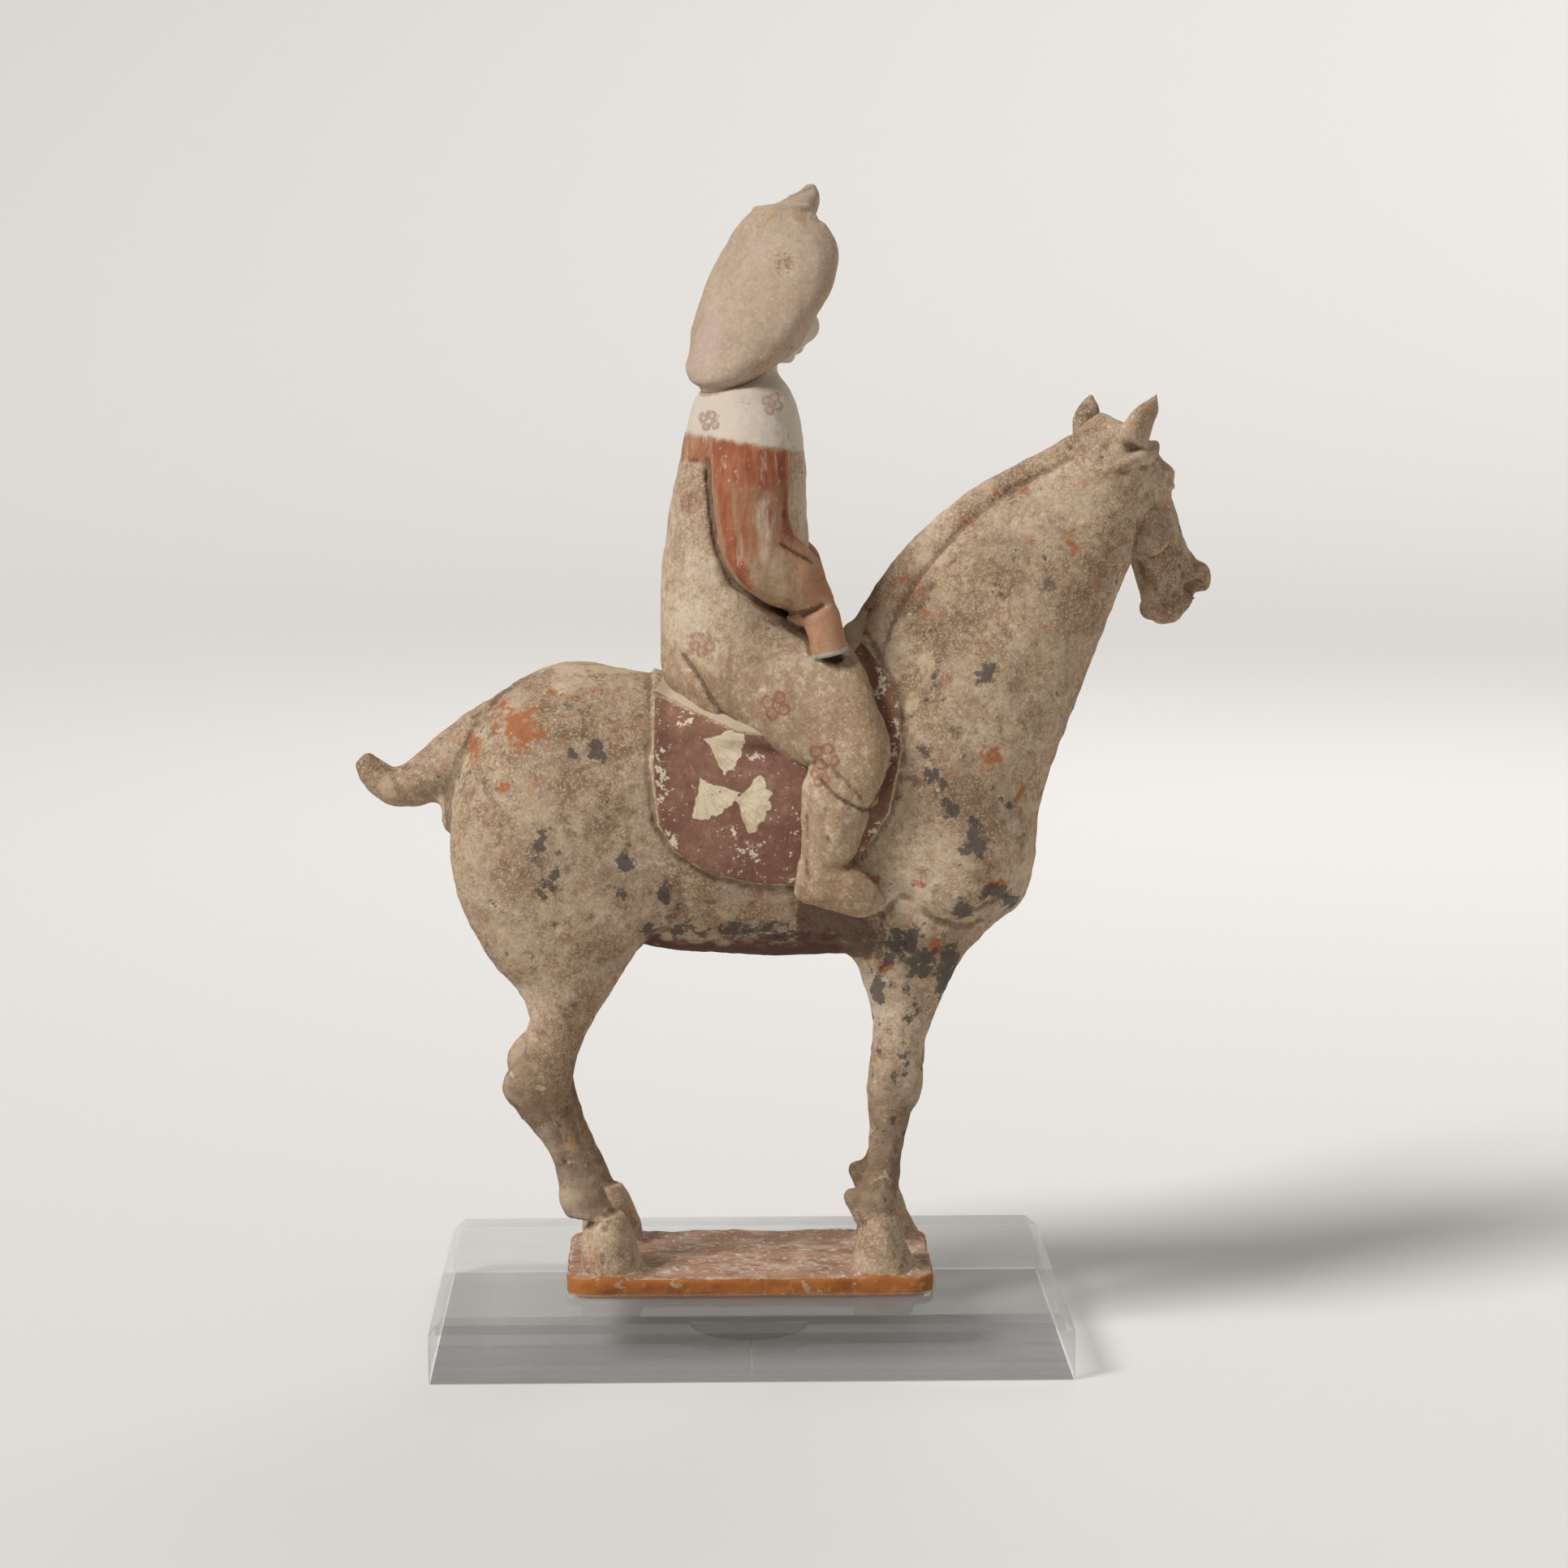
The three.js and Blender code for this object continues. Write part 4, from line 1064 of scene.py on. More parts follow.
def paintHorse(piece, clay, points):
    x, y, z = points.T
    slope = slopeAt(clay, points, 3)
    down = -slope[:, 2] / np.maximum(np.linalg.norm(slope, axis=1), 1e-6)
    # how far the surface curves inwards; it darkens the creases as painted shade along with dirt
    creaseDirtAndShade = hollowAt(clay, points, 7)
    clothInside = insideOutline(horse["clothPaint"], x, z)
    # a faint pale band along the cloth's raised rim: painted highlight
    clothRimHighlight = np.exp(-((clothInside - 3) / 5) ** 2)
    addAttribute(piece, "creaseDirtAndShade", np.clip(creaseDirtAndShade * 1.6, 0, 1))
    # the belly darkens where it faces down: partly mauve paint, partly painted shade
    lowBelly = softStep(-z, -345, -310) * softStep(z, 270, 290)
    addAttribute(piece, "bellyMauveAndShade", softStep(down, 0.45, 0.95) * lowBelly)
    addAttribute(piece, "legs", softStep(-z, -290, -150) * (1 - softStep(-z, -70, -30)))
    addAttribute(piece, "cloth", np.clip(0.5 + clothInside / 6, 0, 1))
    skirt = [[-86, 540], [-60, 575], [110, 610], [104, 585], [60, 500], [-12, 508]]
    addAttribute(piece, "saddleSkirt", softStep(insideOutline(skirt, x, z), -3, 3))
    addAttribute(piece, "flakesAndRimHighlight", 0.2 * clothRimHighlight * (clothInside > 0) + stains(points, [
        [5, 484, 10, 8, 0.5], [-20, 421, 14, 8, 0.46], [-6, 398, 18, 12, 0.44], [-80, 470, 8, 40, 0.36],
        [-60, 515, 20, 8, 0.36], [118, 545, 9, 16, 0.5], [113, 410, 9, 20, 0.5], [128, 500, 8, 26, 0.42],
        [40, 420, 14, 40, 0.26], [-70, 410, 12, 10, 0.36]]))
    # the girth under the shoe: mauve paint together with the shoe's painted shadow
    onBelly = softStep(z, 288, 300) * softStep(-z, -372, -362)
    girthAndBootShadow = 0.9 * softStep(x, 38, 46) * softStep(-x, -150, -96) * onBelly
    addAttribute(piece, "girthAndBootShadow", girthAndBootShadow * (np.abs(y) < 92))
    # grey smudges; the large patches on the neck and head are partly painted shade
    addAttribute(piece, "greySmudgesAndShade", stains(points, [
        [240, 660, 90, 70, 0.62], [190, 590, 60, 50, 0.6], [200, 430, 50, 90, 0.62],
        [330, 760, 60, 40, 0.5], [390, 680, 50, 60, 0.7], [-190, 380, 60, 60, 0.45],
        [-120, 380, 40, 60, 0.45], [160, 300, 60, 40, 0.75], [-200, 300, 60, 40, 0.5],
        [-20, 320, 100, 30, 0.6], [250, 540, 30, 60, 0.5], [-80, 470, 30, 60, 0.3]]))
    addAttribute(piece, "rust", stains(points, [
        [-206, 508, 24, 18, 0.8], [-228, 525, 16, 9, 0.55], [-252, 488, 12, 16, 0.7], [-224, 458, 10, 9, 0.6],
        [200, 690, 12, 7, 0.6], [255, 667, 6, 14, 0.6], [295, 667, 6, 16, 0.6], [163, 608, 10, 8, 0.55],
        [216, 482, 12, 10, 0.75], [246, 448, 6, 16, 0.65], [123, 290, 10, 12, 0.8], [167, 313, 8, 12, 0.7],
        [111, 373, 8, 8, 0.5], [222, 368, 14, 6, 0.75], [-60, 538, 10, 6, 0.6], [150, 372, 10, 8, 0.6],
        [240, 720, 40, 6, 0.45], [150, 640, 14, 14, 0.42], [-150, 540, 60, 8, 0.36], [176, 470, 8, 10, 0.5]]))
    addAttribute(piece, "soot", stains(points, [
        [-138, 491, 7, 14, 0.5], [-190, 399, 8, 22, 0.62], [-177, 380, 8, 18, 0.62], [-185, 354, 9, 12, 0.5],
        [-115, 391, 9, 16, 0.58], [-117, 361, 9, 14, 0.5], [-77, 357, 14, 16, 0.68], [204, 410, 11, 15, 0.8],
        [174, 462, 8, 14, 0.66], [181, 438, 10, 12, 0.6], [216, 555, 9, 9, 0.52], [222, 362, 14, 9, 0.8],
        [236, 352, 12, 14, 0.7], [200, 344, 16, 9, 0.7], [-20, 325, 80, 12, 0.6], [30, 317, 50, 12, 0.6],
        [152, 300, 36, 26, 0.62], [180, 286, 14, 40, 0.7], [118, 262, 10, 34, 0.5], [146, 250, 9, 40, 0.45],
        [160, 494, 10, 12, 0.52], [232, 440, 10, 22, 0.42], [-170, 130, 14, 40, 0.36],
        [126, 150, 14, 20, 0.36]]))
    # pale slip; the long thin patch along the back line at -150, 556 is a painted highlight
    addAttribute(piece, "slip", stains(points, [
        [143, 531, 13, 15, 0.8], [150, 500, 16, 60, 0.45], [136, 470, 22, 70, 0.5], [-150, 556, 90, 6, 0.7],
        [160, 570, 14, 14, 0.5], [230, 620, 50, 40, 0.3], [-150, 400, 80, 60, 0.3], [110, 585, 14, 12, 0.55],
        [170, 655, 60, 12, 0.45], [-240, 420, 30, 70, 0.3], [240, 420, 12, 50, 0.4], [330, 740, 40, 40, 0.25],
        [110, 400, 26, 40, 0.5], [-330, 450, 40, 30, 0.5], [-40, 345, 60, 16, 0.45]]))


# The rider's slip: white over the shoulders, red on the sleeves and worn buff below, with rosettes.
def riderMaterial():
    material, tree, shader = newMaterial("paintedSlipOnEarthenware", 0.92, 0.2)
    place = addNode(tree, "TexCoord", out="Object")
    streaks = addNode(tree, "Mapping", {"Vector": place, "Scale": (1, 1, 0.14)})
    colour = firedClay(tree, place, 21.0, pale=0.03)
    colour = layCoats(tree, colour, [
        ("#baa68c", scattered(tree, streaks, 5, 22.0, 0.5, 0.66, 0.5)),
        ("#877053", scattered(tree, streaks, 9, 23.0, 0.5, 0.66, 0.6)),
        ("#8f7050", frayed(tree, place, "lap", 4, 23.5, 0.7, 1.1, 1.4, 0.6)),
        ("#c4b8a9", frayed(tree, place, "white", 7, 24.0, 0.35, 0.8, 0.4, 0.92)),
        ("#b07d68", frayed(tree, place, "blush", 6, 24.5, 0.4, 0.9, 0.6, 0.8)),
        ("#a8937f", frayed(tree, place, "hair", 8, 25.0, 0.3, 1.1, 0.9, 0.75)),
        ("#b39c93", frayed(tree, place, "hairPale", 6, 25.5, 0.35, 0.9, 0.6, 0.8)),
        ("#c4b3a2", scattered(tree, place, 1.1, 25.8, 0.52, 0.62, 0.38)),
        ("#a57e4f", frayed(tree, place, "ochre", 4, 26.0, 0.4, 0.85, 1.0, 0.75)),
        ("#755640", frayed(tree, place, "brown", 1.8, 27.0, 0.45, 0.7, 1.2, 0.65)),
    ])
    red = layCoats(tree, hexColour("#905139"), [
        ("#ab7354", scattered(tree, streaks, 5, 28.0, 0.42, 0.62, 0.75)),
        ("#774334", scattered(tree, streaks, 7, 29.0, 0.48, 0.64, 0.6)),
        ("#bba288", scattered(tree, streaks, 3, 30.0, 0.55, 0.64, 0.7)),
        ("#c2ae97", scattered(tree, place, 2, 30.3, 0.6, 0.66, 0.7)),
    ])
    colour = layCoats(tree, colour, [
        ("#96714f", frayed(tree, streaks, "sleeve", 6, 30.5, 0.3, 1.1, 0.7, 0.8)),
        ("#c0b09a", frayed(tree, streaks, "cream", 4, 30.8, 0.3, 0.75, 0.8, 0.95)),
        (red, frayed(tree, streaks, "red", 4, 31.0, 0.25, 0.85, 0.8)),
        ("#a97a5d", frayed(tree, place, "cuff", 3, 32.0, 0.3, 1.0, 1.0, 0.85)),
        ("#a9a992", frayed(tree, place, "cuffEnd", 2, 33.0, 0.4, 0.6, 0.3)),
        ("#7b6147", scattered(tree, place, 3, 33.5, 0.62, 0.68, 0.4)),
    ])
    for rosette in paint["rosettes"]:
        cover = rosetteMask(tree, place, rosette)
        worn = scattered(tree, place, 2, rosette[0], 0.3, 0.5, rosette[4])
        cover = addNode(tree, "Math", {0: cover, 1: worn}, operation="MULTIPLY")
        colour = layCoats(tree, colour, [("#855440", cover)])
    colour = layCoats(tree, colour, [
        ("#8a4a3c", frayed(tree, place, "lips", 2, 34.0, 0.4, 0.7, 0.3)),
        ("#4b4038", frayed(tree, place, "brows", 2, 35.0, 0.4, 0.7, 0.3)),
        # darker in the creases: painted shade, with dirt
        ("#4f3c2d", frayed(tree, place, "creaseDirtAndShade", 2, 36.0, 0.35, 1.2, 0.4, 0.75)),
    ])
    tree.links.new(colour, shader.inputs["Base Color"])
    tree.links.new(clayBump(tree, place, 21.0, 0.8), shader.inputs["Normal"])
    return material


paint = {
    "rosettes": [                 # x, z, how far out the petals' middles are, number of petals and strength
        [21, 801, 6, 4, 0.7],
        [-36, 785, 5.5, 4, 0.8],
        [23, 532, 8, 4, 1],
        [66, 488, 8, 4, 1],
        [62, 470, 5, 4, 0.9],
        [-43, 585, 7, 5, 0.7],
        [31, 618, 6, 4, 0.8],
        [-52, 712, 6, 5, 0.5],
    ],
    "redBand": [745, 766],        # heights between which the upper arm and back are red
    "sleeveRear": [[628, 641, 669, 698, 727, 752], [5, -15, -29, -34, -37, -38]],
}


# How surely each point lies on a form's own skin: 1 on it, falling off over a few thousandths outside it.
def belongs(form, points, soft=2.0):
    distance = form[0](*[axis.astype(np.float32) for axis in points.T])
    return softStep(-distance, -4 - soft, -4 + soft)


def paintRider(piece, clay, points):
    x, y, z = points.T
    turn = rider["headTurn"]
    # how far the surface curves inwards; it darkens the folds as painted shade along with dirt
    creaseDirtAndShade = hollowAt(clay, points, 6)
    head = np.maximum(belongs(limb(rider["hair"], turn=turn), points),
                      belongs(limb(rider["topknot"], dome=3, turn=turn), points))
    head = head * (1 - belongs(limb(rider["face"], turn=turn, grow=-3), points, 1))
    addAttribute(piece, "creaseDirtAndShade", np.clip(creaseDirtAndShade * 1.5, 0, 1) * (1 - 0.9 * softStep(z, 770, 800)))
    sleeve = np.maximum(belongs(limb(rider["sleeve"], side=-1), points, 1),
                        belongs(limb(rider["sleeve"]), points, 1))
    cuff = np.maximum(belongs(limb(rider["cuff"], dome=1, side=-1), points, 1),
                      belongs(limb(rider["cuff"], dome=1), points, 1)) * softStep(-z, -626, -616)
    sleeve = sleeve * (1 - cuff)
    low, high = paint["redBand"]
    lean = z + 0.16 * x
    below = softStep(-lean, -high - 7, -high + 7)
    fromRear = x - np.interp(z, *paint["sleeveRear"])
    strip = softStep(fromRear, 4, 9) * softStep(-fromRear, -26, -15) * softStep(z, 618, 650)
    front = softStep(x, 24, 31) * softStep(z, 672, 690)
    top = softStep(z, 704, 742)
    onSleeve = below * sleeve
    back = 0.62 * below * softStep(z, low - 4, low + 4) * (x < -34) * (1 - head)
    addAttribute(piece, "sleeve", onSleeve * 0.9)
    middle = softStep(z, 640, 680)
    onArm = onSleeve * np.maximum.reduce([0.95 * strip, 0.7 * front, 0.9 * top, 0.52 * middle])
    addAttribute(piece, "red", np.maximum(onArm, back))
    addAttribute(piece, "cream", onSleeve * stains(points, [
        [16, 702, 13, 24, 0.9], [10, 672, 14, 16, 0.5], [-33, 735, 3, 20, 0.5]]))
    fadedWhite = 0.3 * (1 - sleeve) * softStep(z, 560, 700)
    addAttribute(piece, "white", (1 - head) * ((1 - below) * 0.95 + fadedWhite))
    addAttribute(piece, "lap", (1 - sleeve) * (1 - cuff) * softStep(-z, -640, -560))
    addAttribute(piece, "blush", (1 - head) * stains(points, [
        [-35, 815, 26, 6, 0.6], [10, 818, 30, 5, 0.5], [-30, 600, 22, 12, 0.45], [0, 640, 16, 12, 0.5],
        [-20, 700, 8, 30, 0.3], [-44, 640, 14, 14, 0.3]]))
    addAttribute(piece, "hair", head)
    addAttribute(piece, "hairPale", head * stains(points, [
        [-36, 860, 22, 50, 0.8], [0, 940, 26, 30, 0.6], [-10, 815, 40, 14, 0.5]]))
    addAttribute(piece, "ochre", stains(points, [
        [50, 968, 18, 10, 0.7], [34, 890, 26, 40, 0.4], [98, 548, 16, 9, 0.65], [110, 490, 12, 20, 0.5],
        [92, 520, 14, 12, 0.4], [70, 430, 14, 30, 0.4], [-60, 590, 16, 40, 0.35]]))
    addAttribute(piece, "brown", head * stains(points, [
        [33, 926, 12, 17, 0.62], [46, 880, 5, 8, 0.45], [40, 850, 12, 6, 0.45], [10, 838, 16, 5, 0.45]]))
    forearm = sleeve * softStep(x - 0.35 * (690 - z), 18, 34) * softStep(-z, -690, -676)
    rearTrim = onSleeve * softStep(-fromRear, -7, -4) * softStep(z, 640, 660)
    addAttribute(piece, "cuff", np.maximum.reduce([cuff, 0.75 * forearm, 0.9 * rearTrim]))
    addAttribute(piece, "cuffEnd", cuff * softStep(-z + 0.26 * (x - 73), -583, -579))
    localX, localY = unturned(x, y, turn)
    face = (localX > 40) * (1 - head)
    lips = np.exp(-(localY / 8) ** 2 - ((z - 863) / 4) ** 2)
    out = np.abs(localY)
    browLine = (z - 900 + 0.02 * (out - 15) ** 2) / 1.7
    brows = np.exp(-browLine ** 2) * softStep(out, 4, 7) * softStep(-out, -27, -23)
    eyeLine = (z - 888.5 + 0.015 * (out - 15) ** 2) / 1.1
    eyes = np.exp(-eyeLine ** 2) * softStep(out, 7, 9) * softStep(-out, -23, -21)
    addAttribute(piece, "lips", 0.8 * lips * face)
    addAttribute(piece, "brows", 0.8 * np.maximum(brows, eyes) * face)


# The slab's bare orange clay, cut with a knife, with pink and pale paint trodden on top.
def slabMaterial():
    material, tree, shader = newMaterial("barePinkishEarthenware", 0.9, 0.22)
    place = addNode(tree, "TexCoord", out="Object")
    streaks = addNode(tree, "Mapping", {"Vector": place, "Scale": (0.6, 1, 1)})
    top = layCoats(tree, hexColour("#9a7a63"), [
        ("#b39b85", scattered(tree, streaks, 7, 41.0, 0.48, 0.6, 0.85)),
        ("#835f4d", scattered(tree, streaks, 4, 42.0, 0.52, 0.62, 0.8)),
        ("#a86c45", scattered(tree, streaks, 9, 43.0, 0.54, 0.66, 0.7)),
        ("#c6b5a2", scattered(tree, place, 2.5, 44.0, 0.56, 0.61, 0.85)),
    ])
    edge = layCoats(tree, hexColour("#a0622f"), [
        ("#7f4c2c", scattered(tree, streaks, 7, 45.0, 0.48, 0.64, 0.7)),
        ("#b87a45", scattered(tree, place, 3, 46.0, 0.52, 0.66, 0.6)),
        ("#a8927c", scattered(tree, place, 5, 47.0, 0.6, 0.63, 0.85)),
    ])
    edge = layCoats(tree, edge, [(top, frayed(tree, place, "top", 3, 48.0, 0.45, 0.6, 0.4))])
    colour = layCoats(tree, edge, [
        (firedClay(tree, place, 49.0), frayed(tree, place, "hoof", 4, 50.0, 0.4, 0.7, 0.4)),
    ])
    tree.links.new(colour, shader.inputs["Base Color"])
    tree.links.new(clayBump(tree, place, 41.0), shader.inputs["Normal"])
    return material


def paintSlab(piece, clay, points):
    slope = slopeAt(clay, points, 3)
    up = slope[:, 2] / np.maximum(np.linalg.norm(slope, axis=1), 1e-6)
    addAttribute(piece, "top", softStep(up, 0.55, 0.85))
    addAttribute(piece, "hoof", softStep(points[:, 2], 1.2, 4))


# Polished cast acrylic: clear, glossy, with a faint cool tint. The alpha lets light through to the floor.
def acrylicMaterial():
    material, _, shader = newMaterial("castAcrylic", 0.015, 0.5)
    shader.inputs["Base Color"].default_value = hexColour("#eef5f5")
    shader.inputs["Transmission Weight"].default_value = 1
    shader.inputs["IOR"].default_value = 1.49
    shader.inputs["Alpha"].default_value = 0.38
    return material


# The clear block, built from rounded rectangles laid one after the other.
# Its edges are broken just enough to shine.
def modelPlinth():
    size = np.subtract(plinthHigh, plinthLow)
    half, tall = size[:2] / 2, size[2]
    middle = np.add(plinthLow, plinthHigh) / 2
    bevel, broken, corner = acrylic["bevel"], acrylic["brokenEdge"], acrylic["corner"]
    slabHalf = np.array([slab["length"], slab["depth"]]) / 2 + acrylic["clearance"]
    slabMiddle = [0, -slab["forward"]]
    recessBottom = figureLow[2]
    inner = slab["corner"] + acrylic["clearance"]
    loops = [                     # half size, corner radius, centre and height
        (half - broken, corner, middle, 0),
        (half, corner, middle, broken),
        (half, corner, middle, tall - bevel - broken / 2),
        (half - broken * 0.7, corner, middle, tall - bevel + broken * 0.3),
        (half - bevel + broken * 0.3, corner, middle, tall - broken * 0.7),
        (half - bevel - broken, corner, middle, tall),
        (slabHalf + broken, inner, slabMiddle, tall),
        (slabHalf, inner, slabMiddle, tall - broken),
        (slabHalf, inner, slabMiddle, recessBottom),
    ]
    steps = 6
    turns = np.linspace(0, np.pi / 2, steps)
    corners, faces = [], []
    for halfSize, radius, centre, height in loops:
        for quarter, (signX, signY) in enumerate([(1, 1), (-1, 1), (-1, -1), (1, -1)]):
            for angle in turns + quarter * np.pi / 2:
                x = centre[0] + signX * (halfSize[0] - radius) + radius * np.cos(angle)
                y = centre[1] + signY * (halfSize[1] - radius) + radius * np.sin(angle)
                corners.append((x, y, height))
    count = 4 * steps
    for ring in range(len(loops) - 1):
        for i in range(count):
            a, b = ring * count + i, ring * count + (i + 1) % count
            faces.append((a, b, b + count, a + count))
    faces.append(tuple(reversed(range(count))))
    faces.append(tuple(range(len(corners) - count, len(corners))))
    mesh = bpy.data.meshes.new("plinth")
    mesh.from_pydata(corners, [], faces)
    mesh.materials.append(acrylicMaterial())
    piece = bpy.data.objects.new("plinth", mesh)
    bpy.context.collection.objects.link(piece)
    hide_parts("acrylic_plinth")
    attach(piece, "root")


acrylic = {
    "bevel": 0.0043,
    "brokenEdge": 0.0004,
    "corner": 0.0006,
    "clearance": 0.0005,
}


# Crumbs of burial soil stuck to the belly, the chest and the creases, scattered by a node tree.

crumbs = {
    "density": 1_500_000,         # per square metre where the crust is thickest
    "radius": 0.00042,
    "seed": 7,
}


def crumbTree():
    tree = bpy.data.node_groups.new("soilCrumbs", "GeometryNodeTree")
    tree.interface.new_socket("Geometry", in_out="INPUT", socket_type="NodeSocketGeometry")
    tree.interface.new_socket("Density", in_out="INPUT", socket_type="NodeSocketFloat")
    tree.interface.new_socket("Radius", in_out="INPUT", socket_type="NodeSocketFloat")
    tree.interface.new_socket("Seed", in_out="INPUT", socket_type="NodeSocketInt")
    tree.interface.new_socket("Finish", in_out="INPUT", socket_type="NodeSocketMaterial")
    tree.interface.new_socket("Geometry", in_out="OUTPUT", socket_type="NodeSocketGeometry")
    kinds = {
        "start": "NodeGroupInput",
        "crust": "GeometryNodeInputNamedAttribute",
        "thick": "ShaderNodeMath",
        "scatter": "GeometryNodeDistributePointsOnFaces",
        "crumb": "GeometryNodeMeshIcoSphere",
        "size": "FunctionNodeRandomValue",
        "turn": "FunctionNodeRandomValue",
        "place": "GeometryNodeInstanceOnPoints",
        "realize": "GeometryNodeRealizeInstances",
        "finish": "GeometryNodeSetMaterial",
        "end": "NodeGroupOutput",
    }
    nodes = {name: tree.nodes.new(kind) for name, kind in kinds.items()}
    nodes["crust"].data_type = "FLOAT"
    nodes["crust"].inputs["Name"].default_value = "crust"
    nodes["thick"].operation = "MULTIPLY"
    nodes["crumb"].inputs["Subdivisions"].default_value = 1
    nodes["size"].data_type = "FLOAT_VECTOR"
    nodes["size"].inputs[0].default_value = (0.4, 0.4, 0.3)
    nodes["size"].inputs[1].default_value = (1.5, 1.3, 0.9)
    nodes["turn"].data_type = "FLOAT_VECTOR"
    nodes["turn"].inputs[1].default_value = (fullTurn, fullTurn, fullTurn)
    links = [
        (("start", "Geometry"), ("scatter", "Mesh")),
        (("start", "Density"), ("thick", 0)),
        (("crust", 0), ("thick", 1)),
        (("thick", 0), ("scatter", "Density")),
        (("start", "Seed"), ("scatter", "Seed")),
        (("start", "Seed"), ("size", "Seed")),
        (("start", "Seed"), ("turn", "Seed")),
        (("start", "Radius"), ("crumb", "Radius")),
        (("scatter", "Points"), ("place", "Points")),
        (("crumb", "Mesh"), ("place", "Instance")),
        (("turn", 0), ("place", "Rotation")),
        (("size", 0), ("place", "Scale")),
        (("place", "Instances"), ("realize", "Geometry")),
        (("realize", "Geometry"), ("finish", "Geometry")),
        (("start", "Finish"), ("finish", "Material")),
        (("finish", "Geometry"), ("end", "Geometry")),
    ]
    for (source, output), (target, socket) in links:
        tree.links.new(nodes[source].outputs[output], nodes[target].inputs[socket])
    return tree


def scatterCrumbs(host, material):
    holder = bpy.data.objects.new("crumbHolder", host.data)
    bpy.context.collection.objects.link(holder)
    tree = crumbTree()
    modifier = holder.modifiers.new("crumbs", "NODES")
    modifier.node_group = tree
    sockets = {item.name: item.identifier for item in tree.interface.items_tree if item.in_out == "INPUT"}
    modifier[sockets["Density"]] = float(crumbs["density"])
    modifier[sockets["Radius"]] = crumbs["radius"]
    modifier[sockets["Seed"]] = crumbs["seed"]
    modifier[sockets["Finish"]] = material
    ready = holder.evaluated_get(bpy.context.evaluated_depsgraph_get())
    mesh = bpy.data.meshes.new_from_object(ready)
    bpy.data.objects.remove(holder)
    piece = bpy.data.objects.new("soil_crumbs", mesh)
    bpy.context.collection.objects.link(piece)
    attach(piece, "root")
    print("soil crumbs scattered,", len(mesh.polygons), "faces")
    return piece


# The floor, light and camera.

camera = {
    "at": (-0.020, -1.237, 0.356),
    "turnedRight": 1.48,          # degrees
    "lookingDown": 7.83,          # degrees
    "focalPixels": 4600,          # the photograph is 1932 pixels wide
    "photoPixels": 1932,
    "sensorWidth": 36,            # millimetres
}

studio = {
    "floorColour": "#d6d4d0",
    "flatRadius": 3.0,
    "wallRadius": 6.0,
    "worldColour": "#f2efec",
    "worldStrength": 0.26,
    "lamps": {                    # a sun's power is per square metre, and its size is the angle that it fills
        "key": {"kind": "SUN", "at": (-1.15, -0.7, 1.5), "size": 0.35, "power": 3.3},
        "back": {"kind": "AREA", "at": (0.5, 1.4, 1.3), "size": 1.0, "power": 8},
    },
    "aim": (0, 0, 0.22),
}


def setCamera():
    lens = bpy.data.cameras.new("camera")
    lens.sensor_width = camera["sensorWidth"]
    lens.lens = camera["sensorWidth"] * camera["focalPixels"] / camera["photoPixels"]
    holder = bpy.data.objects.new("camera", lens)
    holder.location = camera["at"]
    holder.rotation_euler = (np.radians(90 - camera["lookingDown"]), 0, -np.radians(camera["turnedRight"]))
    bpy.context.collection.objects.link(holder)
    bpy.context.scene.camera = holder


def setLight():
    for name, lamp in studio["lamps"].items():
        light = bpy.data.lights.new(name, lamp["kind"])
        if lamp["kind"] == "SUN":
            light.angle = lamp["size"]
        else:
            light.size = lamp["size"]
        light.energy = lamp["power"]
        holder = bpy.data.objects.new(name, light)
        holder.location = lamp["at"]
        towards = Vector(studio["aim"]) - Vector(lamp["at"])
        holder.rotation_euler = towards.to_track_quat("-Z", "Y").to_euler()
        bpy.context.collection.objects.link(holder)
    world = bpy.data.worlds.new("studio")
    world.use_nodes = True
    world.node_tree.nodes["Background"].inputs["Color"].default_value = hexColour(studio["worldColour"])
    world.node_tree.nodes["Background"].inputs["Strength"].default_value = studio["worldStrength"]
    bpy.context.scene.world = world
    bpy.context.scene.view_settings.view_transform = "Standard"


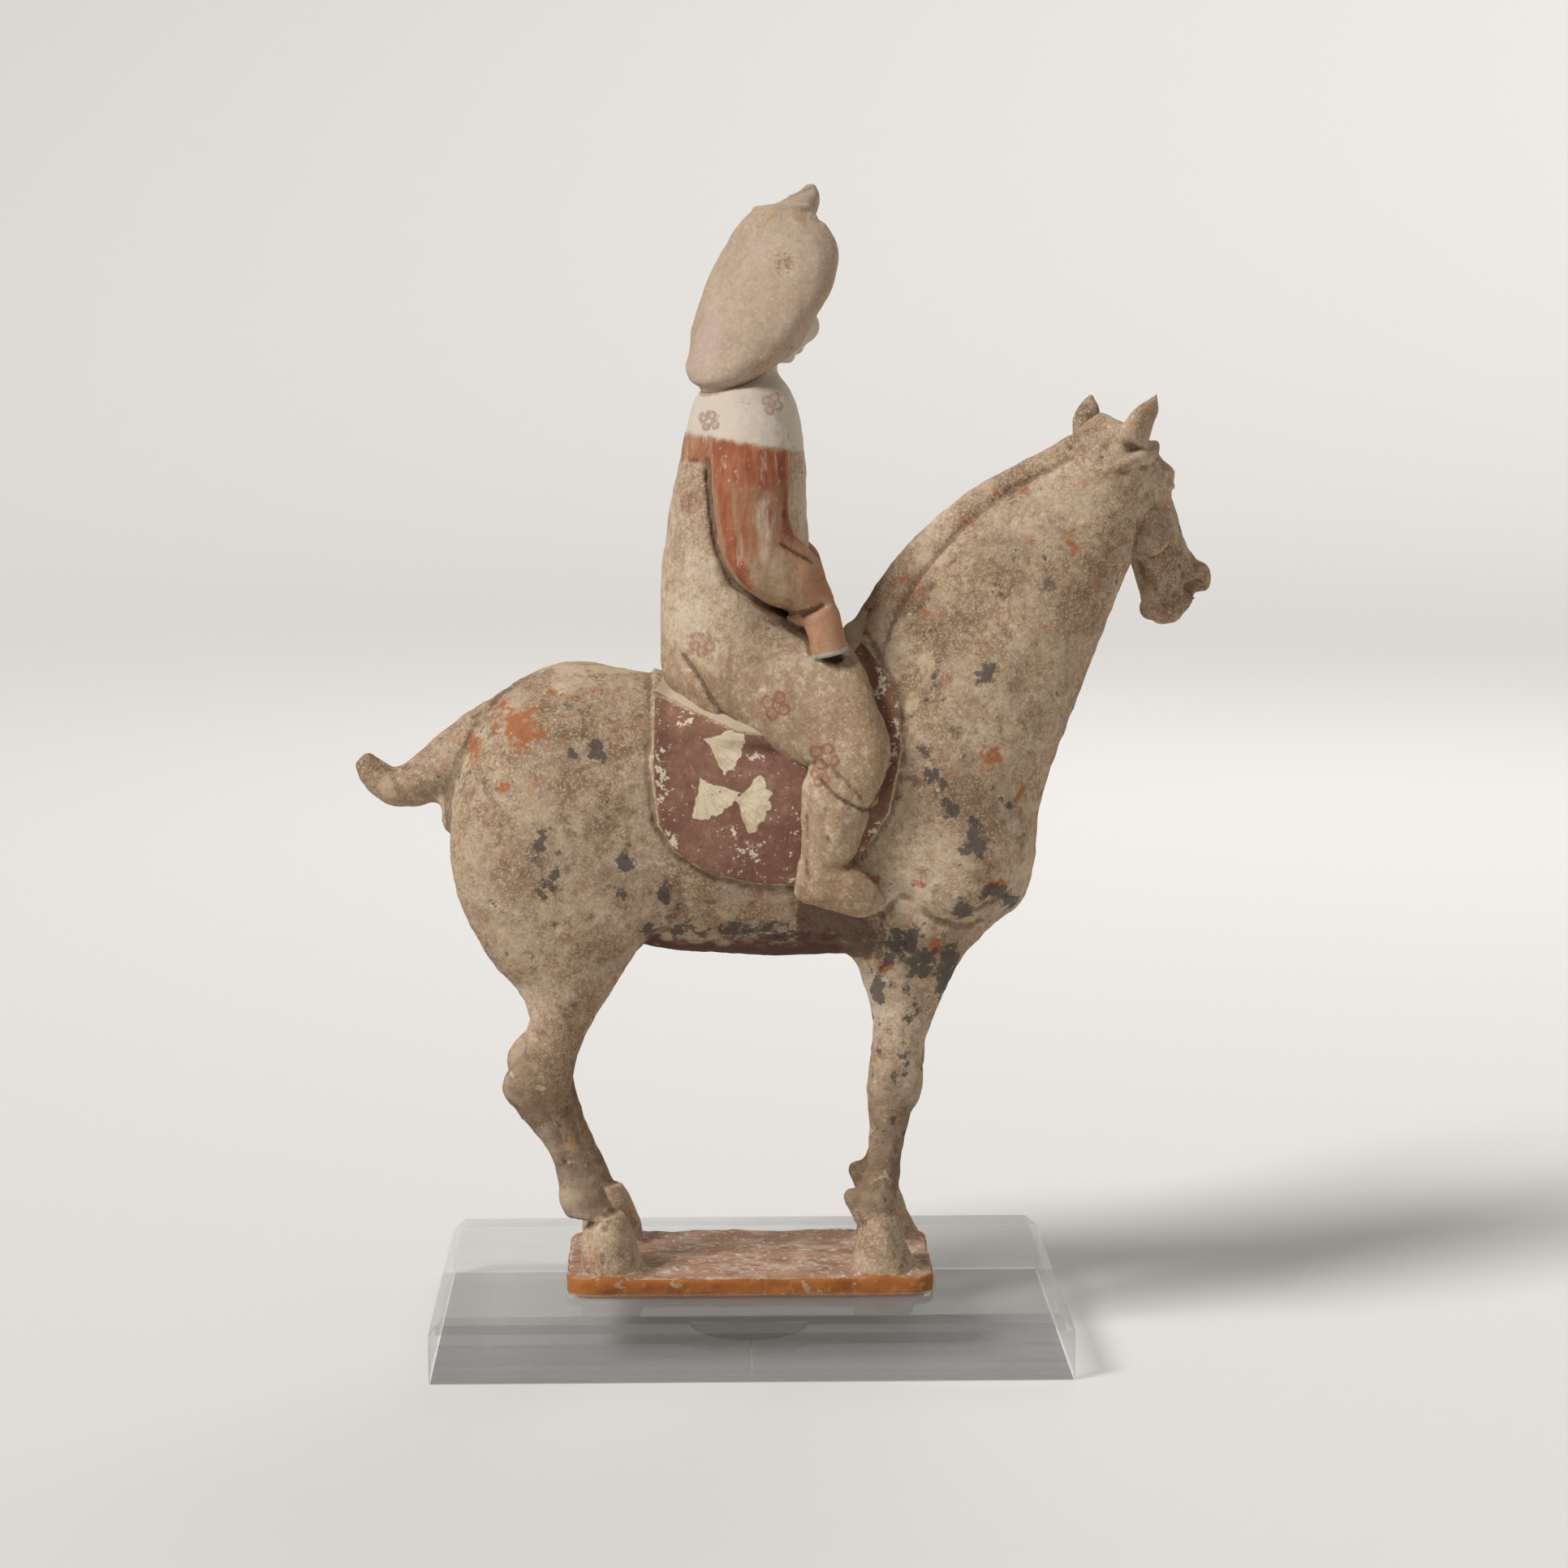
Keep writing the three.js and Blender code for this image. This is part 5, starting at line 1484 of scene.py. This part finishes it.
# A pale sweep: a flat round floor that curves up into a wall all round.
def setFloor():
    flat, wall = studio["flatRadius"], studio["wallRadius"]
    profile = [(0.02, 0), (flat * 0.5, 0), (flat, 0)]
    curve = wall - flat
    rings = 16
    for i in range(1, rings + 1):
        angle = np.pi / 2 * i / rings
        profile.append((flat + curve * np.sin(angle), curve * (1 - np.cos(angle))))
    count = 72
    corners = [(0, 0, 0)]
    faces = []
    for radius, height in profile:
        for i in range(count):
            angle = 2 * np.pi * i / count
            corners.append((radius * np.cos(angle), radius * np.sin(angle), height))
    for i in range(count):
        faces.append((0, 1 + i, 1 + (i + 1) % count))
    for ring in range(len(profile) - 1):
        for i in range(count):
            a = 1 + ring * count + i
            b = 1 + ring * count + (i + 1) % count
            faces.append((a, a + count, b + count, b))
    mesh = bpy.data.meshes.new("floor")
    mesh.from_pydata(corners, [], faces)
    for face in mesh.polygons:
        face.use_smooth = True
    floor = bpy.data.objects.new("floor", mesh)
    bpy.context.collection.objects.link(floor)
    material, _, shader = newMaterial("palePaper", 0.9, 0.2)
    shader.inputs["Base Color"].default_value = hexColour(studio["floorColour"])
    mesh.materials.append(material)


def dress(clay, name, material, paintPiece):
    points, quads = castNet(clay)
    piece = toMesh(name, points, quads)
    paintPiece(piece, clay, points)
    piece.data.materials.append(material)
    print(name, "has", len(quads) * 2, "triangles")
    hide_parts("horse_and_rider")
    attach(piece, "root")
    return piece, points


def markCrust(piece, points):
    values = stains(points, [
        [27, 322, 16, 12, 1], [-10, 330, 60, 9, 0.4], [215, 352, 22, 14, 0.5], [130, 320, 30, 24, 0.35],
        [60, 330, 20, 12, 0.5], [-90, 330, 20, 14, 0.25], [190, 380, 60, 50, 0.06], [150, 640, 10, 6, 0.2]])
    addAttribute(piece, "crust", np.where(values > 0.03, values, 0) ** 2)


setCamera()
setLight()
setFloor()
horsePiece, horsePoints = dress(modelHorse(), "horse", horseMaterial(), paintHorse)
markCrust(horsePiece, horsePoints)
slip = riderMaterial()
dress(modelRider(), "rider", slip, paintRider)
dress(modelRiderHead(), "rider_head", slip, paintRider)
dress(modelSlab(), "slab", slabMaterial(), paintSlab)
scatterCrumbs(horsePiece, horsePiece.data.materials[0])
modelPlinth()
print("all pieces dressed")
